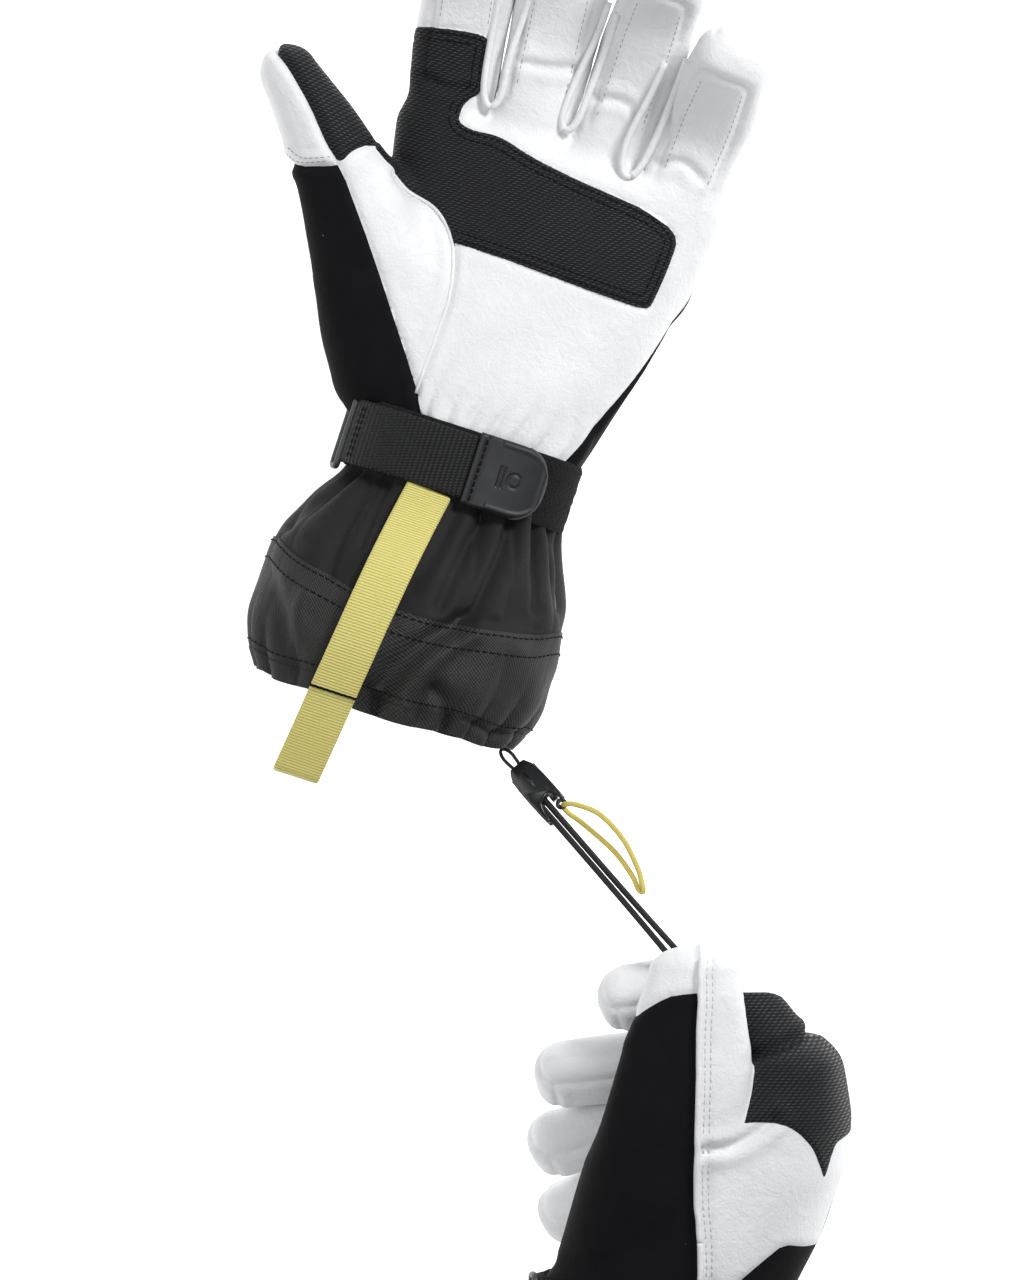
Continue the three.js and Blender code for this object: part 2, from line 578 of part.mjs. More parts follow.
// The drawcord: one strand out to the grip, a turn inside the fist, and one strand back.
const strand = (distance, offset, rise = 0) =>
  vec(LOCK_START)
    .addScaledVector(along, distance)
    .addScaledVector(beside, offset)
    .addScaledVector(above, rise);
const cordPoints = [
  strand(2, CORD_Y - 1.35), strand(30, CORD_Y - 1.3), strand(70, CORD_Y - 1.4), strand(100, CORD_Y - 1.9),
  strand(116, CORD_Y - 2.6, 0.2), strand(123, CORD_Y - 2.2, 0.2), strand(126, CORD_Y, 0.2),
  strand(123, CORD_Y + 2.2, 0.2), strand(116, CORD_Y + 2.6, 0.2), strand(100, CORD_Y + 1.9),
  strand(70, CORD_Y + 1.4), strand(30, CORD_Y + 1.3), strand(2, CORD_Y + 1.35),
];
const cordCurve = new THREE.CatmullRomCurve3(cordPoints, false, "centripetal");
const cordSection = new THREE.Shape().absarc(0, 0, CORD / 2 - 0.05, 0, 2 * Math.PI);
const cordTube = new THREE.ExtrudeGeometry(cordSection, {
  steps: 36,
  curveSegments: 3,
  extrudePath: cordCurve,
});

// ---- the pair ------------------------------------------------------------------------------------------

const place = (nodes, { x, y, turn }) => {
  const group = new THREE.Group().add(...nodes);
  group.position.set(x, y, 0);
  group.rotation.z = rad(turn);
  return group;
};
const pair = new THREE.Group();
pair.add(place(leftNodes, LEFT_PLACE), place(rightNodes, RIGHT_PLACE), lockFrame);
pair.add(piece("left_drawcord", solid(cordTube), "cord"));

// The origin is under the middle of the pair, on the table.
pair.updateMatrixWorld(true);
const bounds = new THREE.Box3().setFromObject(pair, true);
const middle = bounds.getCenter(new THREE.Vector3());
const model = new THREE.Group();
model.add(pair);
pair.position.set(-middle.x, -middle.y, -bounds.min.z);

export default model;
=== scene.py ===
"""A pair of insulated gauntlet gloves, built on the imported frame.

Each hand is one smooth field of palm and digits, meshed and then cut along its seams into leather, softshell
and grip panels. Cuffs, straps, pullers, the cord lock and the drawcord are modelled directly.
Lengths in this file are millimetres in a glove's own frame, whose origin is on the table under the middle of
its wrist strap, with +Y towards the fingers. to_row() turns them into metres in the row frame.
"""
import json
import math

import bpy
import numpy as np
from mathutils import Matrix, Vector
from mathutils.bvhtree import BVHTree


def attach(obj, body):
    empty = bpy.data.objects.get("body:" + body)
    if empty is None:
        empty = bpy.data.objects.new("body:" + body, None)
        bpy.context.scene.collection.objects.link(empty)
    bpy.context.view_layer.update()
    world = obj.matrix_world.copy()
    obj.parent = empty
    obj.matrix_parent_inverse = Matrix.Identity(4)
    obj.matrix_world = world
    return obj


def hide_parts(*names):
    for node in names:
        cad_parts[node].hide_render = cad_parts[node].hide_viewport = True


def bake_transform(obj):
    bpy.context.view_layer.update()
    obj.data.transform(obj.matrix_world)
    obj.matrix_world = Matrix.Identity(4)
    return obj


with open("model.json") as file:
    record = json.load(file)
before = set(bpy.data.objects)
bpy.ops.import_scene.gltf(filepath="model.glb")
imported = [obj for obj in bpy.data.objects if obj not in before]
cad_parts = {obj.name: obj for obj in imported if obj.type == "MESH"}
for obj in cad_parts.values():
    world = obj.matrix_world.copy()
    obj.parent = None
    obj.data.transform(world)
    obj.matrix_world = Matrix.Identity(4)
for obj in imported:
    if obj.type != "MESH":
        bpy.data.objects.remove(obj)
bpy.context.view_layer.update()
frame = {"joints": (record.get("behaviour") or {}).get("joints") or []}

# ---- constants -----------------------------------------------------------------------------------------

MM = 0.001
CELL = 1.25  # size of the hand mesh's cells
LOWEST = 1.25  # no panel or cuff reaches further down than this above the table
POWER = 2.6  # roundness of a hand's or cuff's section
LEFT_TURN = -18.0  # degrees
RIGHT_TURN = 0.0
LEFT_THUMB_BASE = (-43, 42, 31)
RIGHT_THUMB_BASE = (-9, 30, 68)
CUT_Y = 4.0  # the hand's meshes start here, under the strap
SKIN_DEPTH = 3.0  # how far the inner skins lie under the panels

STRAP_WIDTH = 25.0
PULLER_WIDTH = 18.0
CORD_DIAMETER = 2.4

LEFT_FINGERS = {
    "index": dict(base=(-46.6, 124, 26), lean=-8.5, lengths=(35, 26, 23), pitches=(8, 24, 38), wide=34),
    "middle": dict(base=(-14.4, 130, 26), lean=-5, lengths=(38, 28, 24), pitches=(8, 25, 42), wide=36),
    "ring": dict(base=(16.3, 127, 26), lean=1.5, lengths=(36, 27, 23), pitches=(10, 30, 46), wide=33.5),
    "little": dict(base=(46.6, 116, 26), lean=4, lengths=(31, 24, 22), pitches=(12, 35, 50), wide=33),
}
LEFT_THUMB = dict(
    path=[(-43, 42, 31), (-58.5, 67, 37), (-82.8, 96.6, 43), (-100.9, 115, 46), (-110, 123.5, 47)],
    half=[(27, 22), (25.5, 20), (20, 17), (15.5, 14), (11.5, 11.5)],
    across=(0.765, 0.645, 0),
)
KNUCKLE_AXIS = (0.15, 0.63, 0.76)
RIGHT_FINGERS = {
    "index": dict(path=[(42.4, 97, 70), (24, 118, 64.5), (2, 123.5, 58.5), (-17.4, 121, 54.5)], wide=26),
    "middle": dict(path=[(44, 80.5, 51.2), (7, 95, 47.5), (-16, 93.5, 43), (-41.7, 90.5, 40)], wide=26),
    "ring": dict(path=[(40, 65, 32), (2, 73.5, 31), (-20, 70, 29), (-44, 63, 27)], wide=25.4),
    "little": dict(path=[(31, 49, 14.5), (-3, 51, 15.5), (-22, 44, 15), (-40.5, 34.5, 14.5)], wide=24.6),
}
RIGHT_THUMB = dict(
    path=[(-9, 30, 68), (-3.9, 52, 76), (1.2, 82, 88), (5.8, 118, 94.5), (6.6, 133, 95)],
    half=[(33, 23), (32, 21), (28, 16.5), (24, 12.5), (17, 10)],
    across=(1, 0, 0),
)
LEFT_HAND = [  # y, x, z, half width, half thickness
    (-14, 0, 28.5, 41, 25), (10, 0, 28, 42.5, 25.4), (40, 2, 27, 49, 26.6), (72, 3, 26.3, 56, 25.4),
    (100, 2, 26, 62, 22), (130, 0.2, 26, 67, 18),
]
RIGHT_HAND = [
    (-14, -5, 52, 42, 37), (12, -2, 52, 49, 38), (32, 12, 51, 45, 42), (54, 30, 50, 35, 46),
    (76, 40, 50, 27, 48), (98, 44, 49, 20, 46), (107, 46, 49, 13, 38),
]
LEFT_CUFF = [
    (-9, 0.5, 28.5, 42, 25.2), (-15, 1, 28.5, 43, 26.5), (-27, -1, 32, 50, 31), (-42, -1.5, 37, 57.5, 36.5),
    (-62, -1.5, 40, 60.5, 39.5), (-80, -1, 41, 59.5, 39), (-92, -0.5, 41, 55, 36.5), (-99, 0, 41, 49, 33.5),
]
RIGHT_CUFF = [
    (-9, -5, 52, 42, 37), (-15, -5, 52, 43, 38), (-27, -5, 50.5, 48, 41), (-42, -5, 49, 54.5, 45),
    (-62, -5, 48, 57.5, 47), (-80, -5, 47.5, 56.5, 46.5), (-92, -5, 47, 52, 44.5), (-99, -5, 47, 47, 42),
]

# Seams in plan, as outlines in each glove's own frame.
LEFT_PATCH = [
    (-69.5, 157), (-55.5, 159.5), (-41, 161.5), (-40, 151), (-38, 140), (-41.5, 136), (-43, 132.5),
    (-43, 127), (-38, 125), (-25.5, 126), (-12, 122), (7.5, 119), (27.5, 117), (41.5, 115.5),
    (52.5, 110), (52, 97), (51, 86), (50, 79), (26, 79.5), (1.5, 80.5), (-15, 81), (-29, 81),
    (-40, 80), (-60, 82), (-95, 95), (-95, 150),
]
LEFT_THUMB_BLACK = [
    (-80.5, 95.5), (-58, 67), (-26, 23), (-20, 11.5), (-20, -60), (-220, -60), (-220, 120), (-150, 105),
    (-104.5, 92), (-96, 89.5), (-84, 93.5),
]
LEFT_THUMB_CAP = [
    (-119, 130.5), (-110, 124), (-98, 113), (-88, 101.5), (-81, 95.5), (-84, 93.5), (-96, 89.5),
    (-104.5, 92), (-150, 105), (-220, 120), (-220, 200), (-125, 150),
]
LEFT_THUMB_PATCH = [
    (-119, 130.5), (-110, 124), (-98, 113), (-88, 101.5), (-80.5, 95.5), (-77.5, 102), (-72, 107),
    (-65.5, 105.5), (-59.5, 101.5), (-50, 92), (-56, 150), (-118, 152),
]
LEFT_GUSSET = [
    (-59.5, 98.5), (-53, 94.5), (-41.5, 92), (-33.5, 85.5), (-28.5, 76.5), (-25, 61.5), (-25, 45),
    (-25.5, 30), (-25.5, 21),
]
LEFT_CROTCHES = [
    [(-44, 187), (-42.5, 172.5), (-41, 163), (-39.5, 152.5), (-38, 143.5), (-36.5, 136), (-33, 132.5),
     (-29.5, 136),
     (-29.5, 143.5), (-31.5, 152.5), (-31.5, 161.5), (-31, 172.5), (-31, 187)],
    [(-1.5, 188), (-2, 172.5), (-3.5, 162.5), (-5, 152), (-5.5, 143), (-5.5, 136), (-2.5, 133), (1, 136.5),
     (2, 144.5), (2, 153), (3, 166.5), (3.5, 184)],
    [(26.5, 172), (24.5, 155), (22, 144), (21.5, 134.5), (23, 126), (26.5, 123), (29.5, 127.5), (31, 138),
     (33, 151.5), (34, 163.5), (34.5, 175)],
]
LEFT_CREASES = [
    [(-25.5, 156), (-16.5, 157), (-5, 160.5)], [(4.5, 152), (15.5, 153), (25, 150)],
    [(36, 135), (45, 138), (54, 134)], [(-60, 140), (-52, 137.5), (-43, 140)],
]
FINGER_LINE = [(-90, 112), (-34, 127.5), (-2, 128), (26, 118.5), (80, 104)]  # where fingers part from the palm
RIGHT_PATCH = [
    (20, 124), (29, 124), (35.5, 124), (41.5, 122), (54, 114), (72, 106), (90, 96), (90, 74), (61, 69),
    (58.5, 62), (56, 53.5), (54.5, 58), (51, 66.5), (46, 72), (41.5, 75), (35.5, 76.5), (20, 76),
]
RIGHT_WELT = [(8.5, 150), (7.5, 92), (7, 56), (8.5, 12.5), (8.5, -30)]
RIGHT_BLACK_TOP = [(-60, 96), (-24, 108), (-18, 115), (-12, 120), (-3, 124.5), (8.5, 126)]
RIGHT_BACK_EDGE = [
    (90, 70), (68.5, 47), (63.5, 35.5), (59.5, 26.5), (50.5, 27), (40.5, 29), (32.5, 22.5), (21, 12.5),
    (8, -4), (8, -60), (150, -60), (150, 70),
]

# ---- places --------------------------------------------------------------------------------------------

JOINTS = {joint["name"]: joint for joint in frame["joints"]}


def turned(x, y, degrees):
    c, s = math.cos(math.radians(degrees)), math.sin(math.radians(degrees))
    return c * x - s * y, s * x + c * y


def place_of(side):
    """(x, y, z, turn) of a glove's frame in the row, from the place of its thumb's joint."""
    base, turn = (LEFT_THUMB_BASE, LEFT_TURN) if side == "left" else (RIGHT_THUMB_BASE, RIGHT_TURN)
    at = JOINTS[f"{side}_thumb_bend"]["pos_m"]
    x, y = turned(base[0], base[1], turn)
    return at[0] / MM - x, at[1] / MM - y, at[2] / MM - base[2], turn


PLACES = {side: place_of(side) for side in ("left", "right")}
SHIFT = (PLACES["right"][0] - 62.8, PLACES["right"][1] + 258.7, PLACES["right"][2])  # of the pair's CAD frame
PLACES["pair"] = (*SHIFT, 0.0)


def to_row(side, points):
    """Points of a glove's frame in mm as points of the row frame in m."""
    x0, y0, z0, turn = PLACES[side]
    p = np.asarray(points, float)
    x, y = turned(p[..., 0], p[..., 1], turn)
    return np.stack([x + x0, y + y0, p[..., 2] + z0], -1) * MM


# ---- camera --------------------------------------------------------------------------------------------

def make_camera():
    """Straight down on the table, the top of the frame towards the left glove's fingers."""
    data = bpy.data.cameras.new("camera")
    data.lens = 200
    data.sensor_width = 36
    data.sensor_fit = "HORIZONTAL"
    camera = bpy.data.objects.new("camera", data)
    wide = 394.2 * MM
    height = wide * data.lens / data.sensor_width + 55 * MM
    camera.location = (SHIFT[0] * MM, SHIFT[1] * MM, height)
    data.clip_end = 20
    bpy.context.scene.collection.objects.link(camera)
    bpy.context.scene.camera = camera


make_camera()

# ---- materials -----------------------------------------------------------------------------------------

MATERIALS = {}


class Nodes:
    """A material's node tree, with short calls for the nodes used here."""

    def __init__(self, name, rough=0.6, **sockets):
        self.material = bpy.data.materials.new(name)
        self.material.use_nodes = True
        self.tree = self.material.node_tree
        self.shader = self.tree.nodes["Principled BSDF"]
        self.shader.inputs["Roughness"].default_value = rough
        for socket, value in sockets.items():
            self.shader.inputs[socket.replace("_", " ")].default_value = value
        MATERIALS[name] = self.material

    def node(self, kind, **settings):
        made = self.tree.nodes.new(kind)
        for key, value in settings.items():
            setattr(made, key, value)
        return made

    def link(self, out, into):
        self.tree.links.new(out, into)

    def put(self, socket, value):
        if isinstance(value, bpy.types.NodeSocket):
            self.link(value, socket)
        else:
            socket.default_value = value

    def attribute(self, name):
        return self.node("ShaderNodeAttribute", attribute_name=name).outputs["Vector"]

    def split(self, vector):
        made = self.node("ShaderNodeSeparateXYZ")
        self.link(vector, made.inputs[0])
        return made.outputs

    def math(self, operation, a, b=0.0, clamp=False):
        made = self.node("ShaderNodeMath", operation=operation, use_clamp=clamp)
        self.put(made.inputs[0], a)
        self.put(made.inputs[1], b)
        return made.outputs[0]

    def noise(self, vector, scale, detail=3.0, rough=0.5, distortion=0.0):
        made = self.node("ShaderNodeTexNoise")
        self.link(vector, made.inputs["Vector"])
        made.inputs["Scale"].default_value = scale
        made.inputs["Detail"].default_value = detail
        made.inputs["Roughness"].default_value = rough
        made.inputs["Distortion"].default_value = distortion
        return made.outputs["Fac"]

    def cells(self, vector, scale, feature="F1", randomness=1.0):
        made = self.node("ShaderNodeTexVoronoi", feature=feature)
        self.link(vector, made.inputs["Vector"])
        made.inputs["Scale"].default_value = scale
        made.inputs["Randomness"].default_value = randomness
        return made.outputs["Distance"]

    def ramp(self, value, low, high, start=0.0, end=1.0):
        made = self.node("ShaderNodeMapRange")
        self.put(made.inputs[0], value)
        made.inputs[1].default_value, made.inputs[2].default_value = low, high
        made.inputs[3].default_value, made.inputs[4].default_value = start, end
        return made.outputs[0]

    def mix(self, factor, a, b):
        made = self.node("ShaderNodeMix", data_type="RGBA")
        self.put(made.inputs[0], factor)
        made.inputs[6].default_value = (*a, 1) if isinstance(a, tuple) else (0, 0, 0, 1)
        made.inputs[7].default_value = (*b, 1) if isinstance(b, tuple) else (0, 0, 0, 1)
        for k, colour in ((6, a), (7, b)):
            if isinstance(colour, bpy.types.NodeSocket):
                self.link(colour, made.inputs[k])
        return made.outputs[2]

    def bump(self, height, distance, strength=1.0, before=None):
        made = self.node("ShaderNodeBump")
        made.inputs["Strength"].default_value = strength
        made.inputs["Distance"].default_value = distance * MM
        self.link(height, made.inputs["Height"])
        if before is not None:
            self.link(before, made.inputs["Normal"])
        return made.outputs["Normal"]

    def finish(self, colour=None, normal=None, rough=None):
        for socket, value in (("Base Color", colour), ("Normal", normal), ("Roughness", rough)):
            if value is not None:
                self.put(self.shader.inputs[socket], value)
        return self.material


def leather_material():
    """Near-white fine-grained goat leather: pebbled grain, soft wrinkles with painted shade in their hollows,
    and a faint bloom.
    """
    n = Nodes("leather", rough=0.5, Specular_IOR_Level=0.42, Sheen_Weight=0.12)
    rest = n.attribute("rest")
    grain = n.cells(rest, 1.05)
    pores = n.noise(rest, 1.7, 4, 0.6)
    wrinkle = n.noise(rest, 0.16, 3, 0.55, 0.8)
    height = n.math("ADD", n.math("MULTIPLY", grain, 0.7), n.math("MULTIPLY", pores, 0.6))
    fine = n.bump(height, 0.15, 0.65)
    grain = n.math("MULTIPLY", n.noise(rest, 0.45, 2, 0.5, 1.2), 0.35)
    soft = n.bump(n.math("ADD", wrinkle, grain), 1.1, 0.45, fine)
    tone = n.noise(rest, 0.05, 3)
    colour = n.mix(n.ramp(tone, 0.35, 0.7), (0.765, 0.772, 0.786), (0.825, 0.83, 0.84))
    # Painted shade: the leather turns a cool grey where the soft wrinkles' relief is lowest.
    colour = n.mix(n.ramp(grain, 0.0, 0.25, 0.22, 0.0), colour, (0.71, 0.72, 0.735))
    return n.finish(colour, soft, n.ramp(pores, 0.3, 0.7, 0.42, 0.58))


def softshell_material():
    """Black stretch softshell: a very fine knit face with a little lint."""
    n = Nodes("softshell", rough=0.85, Specular_IOR_Level=0.12, Sheen_Weight=0.02, Sheen_Roughness=0.4)
    rest = n.attribute("rest")
    x, y, z = n.split(rest)
    wales, courses = (n.math("SINE", n.math("MULTIPLY", axis, 9.0)) for axis in (x, y))
    knit = n.math("MULTIPLY", wales, courses)
    folds = n.noise(rest, 0.09, 2, 0.5, 0.6)
    fine = n.bump(n.math("ADD", knit, n.noise(rest, 3.0, 2)), 0.05, 0.4)
    normal = n.bump(folds, 1.2, 0.3, fine)
    tone = n.mix(n.noise(rest, 0.06, 2), (0.0035, 0.0036, 0.0045), (0.007, 0.0072, 0.0085))
    lint = n.ramp(n.cells(rest, 0.13), 0.0, 0.05, 1.0, 0.0)
    keep = n.math("GREATER_THAN", n.noise(rest, 0.11, 1), 0.52)
    return n.finish(n.mix(n.math("MULTIPLY", lint, keep), tone, (0.25, 0.25, 0.26)), normal)


def grip_material():
    """Three-dimensional grip weave: rows of slanting raised beads, each row offset from the last, with painted
    shade between the beads.
    """
    n = Nodes("grip", rough=0.5, Specular_IOR_Level=0.35)
    rest = n.attribute("rest")
    x, y, z = n.split(rest)
    row = n.math("FLOOR", n.math("DIVIDE", y, 1.15))
    half = n.math("MULTIPLY", n.math("MODULO", n.math("ABSOLUTE", row), 2.0), 0.5)
    slant = n.math("MULTIPLY", y, 0.22)
    across = n.math("ADD", n.math("DIVIDE", n.math("ADD", x, slant), 2.35), half)
    cx = n.math("SUBTRACT", n.math("FRACT", across), 0.5)
    cy = n.math("SUBTRACT", n.math("FRACT", n.math("DIVIDE", y, 1.15)), 0.5)
    lean = n.math("ADD", cy, n.math("MULTIPLY", cx, -0.35))
    far = n.math("SQRT", n.math("ADD", n.math("MULTIPLY", n.math("POWER", n.math("ABSOLUTE", cx), 2.0), 1.25),
                                n.math("MULTIPLY", n.math("MULTIPLY", lean, lean), 3.0)))
    bead = n.ramp(far, 0.25, 0.62, 1.0, 0.0)
    fine = n.noise(rest, 2.6, 3, 0.6)
    height = n.math("ADD", bead, n.math("MULTIPLY", fine, 0.25))
    normal = n.bump(height, 0.42, 0.9)
    tone = n.mix(n.noise(rest, 0.045, 3), (0.015, 0.017, 0.02), (0.036, 0.039, 0.044))
    # Painted shade: the ground between the beads is near black, and only the bead tops take the weave's tone.
    colour = n.mix(bead, (0.0025, 0.0028, 0.0035), tone)
    return n.finish(colour, normal, n.ramp(bead, 0.0, 1.0, 0.8, 0.42))


def cuff_material(name, twill):
    """Black nylon: plain and smooth above, a heavy twill below, with painted shade in the weave's low threads.
    """
    n = Nodes(name, rough=0.6 if twill else 0.7, Specular_IOR_Level=0.3, Sheen_Weight=0.02)
    rest = n.attribute("cloth")
    x, y, z = n.split(rest)
    if twill:
        u = n.math("SINE", n.math("MULTIPLY", n.math("ADD", x, y), 4.6))
        v = n.math("SINE", n.math("MULTIPLY", n.math("SUBTRACT", x, n.math("MULTIPLY", y, 0.45)), 5.4))
        weave = n.math("ADD", u, n.math("MULTIPLY", v, 0.6))
        low, high = (0.0055, 0.006, 0.0056), (0.037, 0.0385, 0.0365)
    else:
        u = n.math("SINE", n.math("MULTIPLY", x, 11.0))
        v = n.math("SINE", n.math("MULTIPLY", y, 11.0))
        weave = n.math("MULTIPLY", u, v)
        low, high = (0.0045, 0.0046, 0.0045), (0.0095, 0.0098, 0.0095)
    fine = n.bump(n.math("ADD", weave, n.noise(rest, 2.0, 2)), 0.12 if twill else 0.05, 0.55)
    normal = n.bump(n.noise(rest, 0.1, 3, 0.5, 1.0), 1.4, 0.4, fine)
    # Painted shade: the colour follows the weave's relief, dark in its grooves and paler on the raised threads.
    return n.finish(n.mix(n.ramp(weave, -1.2, 1.4), low, high), normal)


def webbing_material(name, low, high, rib, row, rough=0.6, diagonal=0.0, depth=0.3, beads=0.55):
    """Woven narrow fabric: ribs across the tape with a smaller row along it, coloured with painted shade
    between the ribs.
    """
    n = Nodes(name, rough=rough, Specular_IOR_Level=0.3, Sheen_Weight=0.03)
    s, t, _ = n.split(n.attribute("tape"))
    along = n.math("ADD", s, n.math("MULTIPLY", t, diagonal))
    ribs = n.math("ABSOLUTE", n.math("SINE", n.math("MULTIPLY", along, math.pi / rib)))
    column = n.math("FLOOR", n.math("DIVIDE", along, rib))
    stagger = n.math("MULTIPLY", n.math("MODULO", n.math("ABSOLUTE", column), 2.0), math.pi / 2)
    rows = n.math("ABSOLUTE", n.math("SINE", n.math("ADD", n.math("MULTIPLY", t, math.pi / row), stagger)))
    height = n.math("MULTIPLY", n.math("POWER", ribs, 0.6), n.ramp(rows, 0.0, 1.0, 1.0 - beads, 1.0))
    rest = n.attribute("tape")
    dust = n.noise(rest, 0.6, 3)
    normal = n.bump(n.math("ADD", height, n.math("MULTIPLY", dust, 0.15)), depth, 0.9)
    # Painted shade: the colour follows the relief, dark between the ribs and pale on their crowns.
    return n.finish(n.mix(height, low, high), normal)


def loop_material():
    """The napped face of hook-and-loop tape."""
    n = Nodes("loop", rough=0.95, Specular_IOR_Level=0.1, Sheen_Weight=0.06, Sheen_Roughness=0.5)
    rest = n.attribute("rest")
    fuzz = n.noise(rest, 1.6, 5, 0.75, 2.0)
    curls = n.cells(rest, 0.9)
    height = n.math("ADD", fuzz, n.math("MULTIPLY", curls, 0.5))
    colour = n.mix(n.ramp(fuzz, 0.4, 0.66), (0.002, 0.002, 0.0024), (0.022, 0.022, 0.022))
    return n.finish(colour, n.bump(height, 0.8, 1.0))


def moulded_material(name, colour, rough, grain):
    """Moulded rubber or plastic with a fine spark-eroded grain."""
    n = Nodes(name, rough=rough, Specular_IOR_Level=0.5)
    rest = n.node("ShaderNodeTexCoord").outputs["Object"]
    fine = n.noise(rest, 2600.0, 2)
    wear = n.noise(rest, 160.0, 3)
    lift = tuple(min(1.0, c * 1.35) for c in colour)
    return n.finish(n.mix(n.ramp(wear, 0.4, 0.65), colour, lift), n.bump(fine, grain, 0.5),
                    n.ramp(wear, 0.3, 0.7, rough * 0.85, min(1.0, rough * 1.15)))


def thread_material(name, colour):
    n = Nodes(name, rough=0.7, Specular_IOR_Level=0.15)
    rest = n.node("ShaderNodeTexCoord").outputs["Object"]
    twist = n.noise(rest, 3000.0, 1)
    return n.finish(n.mix(twist, tuple(c * 0.75 for c in colour), colour), n.bump(twist, 0.05, 0.6))


def lining_material():
    n = Nodes("lining", rough=0.95, Specular_IOR_Level=0.15, Sheen_Weight=0.4)
    rest = n.attribute("rest")
    pile = n.noise(rest, 1.2, 4, 0.7)
    return n.finish(n.mix(pile, (0.012, 0.013, 0.014), (0.045, 0.047, 0.05)), n.bump(pile, 0.6, 0.9))


leather_material()
softshell_material()
grip_material()
cuff_material("cuff", twill=False)
cuff_material("cordura", twill=True)
# For each webbing and cord below, the first colour is the painted shade between the ribs and the second is the
# ribs' lit crowns.
webbing_material("webbing", (0.0012, 0.0012, 0.0015), (0.0135, 0.0145, 0.0155), rib=1.9, row=1.15, depth=0.5)
webbing_material("yellow", (0.40, 0.345, 0.09), (0.76, 0.69, 0.23), rib=1.15, row=0.7, diagonal=0.1, depth=0.26,
                 beads=0.2)
webbing_material("yellow_cord", (0.42, 0.33, 0.07), (0.80, 0.68, 0.18), rib=0.7, row=0.6, diagonal=0.5,
                 depth=0.12)
webbing_material("cord", (0.004, 0.004, 0.0045), (0.022, 0.022, 0.023), rib=0.75, row=0.6, diagonal=0.6,
                 depth=0.12)
loop_material()
lining_material()
moulded_material("rubber", (0.0055, 0.0062, 0.0078), 0.5, 0.02)
# A paler copy of the rubber for the tab's rim: a painted highlight on the raised edge.
moulded_material("rubber_rim_highlight", (0.035, 0.039, 0.044), 0.5, 0.02)
moulded_material("ring", (0.04, 0.043, 0.047), 0.42, 0.015)
moulded_material("plastic", (0.0105, 0.011, 0.012), 0.22, 0.008)
thread_material("thread_black", (0.0025, 0.0025, 0.003))
thread_material("thread_grey", (0.34, 0.345, 0.36))
thread_material("thread_white", (0.72, 0.725, 0.735))

# ---- meshes --------------------------------------------------------------------------------------------


def make_mesh(name, side, points, faces, material, body, node=(), slot=None, smooth=True, attributes=None):
    """A mesh piece from points in a glove's frame, which keeps them as its attribute "rest"."""
    mesh = bpy.data.meshes.new(name)
    mesh.from_pydata(to_row(side, points).tolist(), [], [list(map(int, f)) for f in faces])
    for key, values in {"rest": points, **(attributes or {})}.items():
        layer = mesh.attributes.new(key, "FLOAT_VECTOR", "POINT")
        layer.data.foreach_set("vector", np.asarray(values, np.float32).ravel())
    mesh.materials.append(MATERIALS[material])
    if smooth:
        mesh.shade_smooth()
    piece = bpy.data.objects.new(name, mesh)
    bpy.context.scene.collection.objects.link(piece)
    if body:
        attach(piece, body)
    for replaced in node:
        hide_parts(replaced)
    return piece


def catmull(points, count):
    """count points along a smooth curve through the given ones, evenly spaced."""
    p = np.asarray(points, float)
    p = np.vstack([2 * p[0] - p[1], p, 2 * p[-1] - p[-2]])
    out = []
    for k in range(1, len(p) - 2):
        t = np.linspace(0, 1, 24, endpoint=False)[:, None]
        a, b, c, d = p[k - 1], p[k], p[k + 1], p[k + 2]
        out.append(0.5 * (2 * b + (c - a) * t + (2 * a - 5 * b + 4 * c - d) * t ** 2
                          + (3 * b - 3 * c + d - a) * t ** 3))
    line = np.vstack(out + [p[-2][None]])
    return resample(line, count)


def resample(line, count):
    steps = np.linalg.norm(np.diff(line, axis=0), axis=1)
    length = np.concatenate([[0], np.cumsum(steps)])
    at = np.linspace(0, length[-1], count)
    return np.stack([np.interp(at, length, line[:, k]) for k in range(line.shape[1])], -1)


def unit(v):
    v = np.asarray(v, float)
    return v / np.maximum(np.linalg.norm(v, axis=-1, keepdims=True), 1e-9)


def grid_faces(rows, columns, closed_columns=True, flip=False):
    """Quads of a rows by columns grid of points."""
    faces = []
    last = columns if closed_columns else columns - 1
    for r in range(rows - 1):
        for c in range(last):
            d = (c + 1) % columns
            face = [r * columns + c, r * columns + d, (r + 1) * columns + d, (r + 1) * columns + c]
            faces.append(face[::-1] if flip else face)
    return faces


def frames_along(line, up):
    """Tangent, side and normal at each point of a line; up is a direction or one direction for each point."""
    tangent = unit(np.gradient(line, axis=0))
    side = unit(np.cross(tangent, np.broadcast_to(up, line.shape)))
    return tangent, side, np.cross(side, tangent)


def sweep(line, up, section, grow=None):
    """Points of a closed section (n by 2: side, normal) swept along a line, with domed ends."""
    tangent, side, normal = frames_along(line, up)
    grow = np.ones(len(line)) if grow is None else grow
    section = np.asarray(section, float)
    rings = (line[:, None] + grow[:, None, None] * (section[None, :, :1] * side[:, None]
                                                    + section[None, :, 1:] * normal[:, None]))
    count = len(section)
    points = rings.reshape(-1, 3)
    faces = grid_faces(len(line), count)
    faces.append(list(range(count))[::-1])
    faces.append([len(points) - count + k for k in range(count)])
    length = np.concatenate([[0], np.cumsum(np.linalg.norm(np.diff(line, axis=0), axis=1))])
    tape = np.stack([np.repeat(length, count), np.tile(section[:, 0], len(line)), np.zeros(len(points))], -1)
    return points, faces, tape


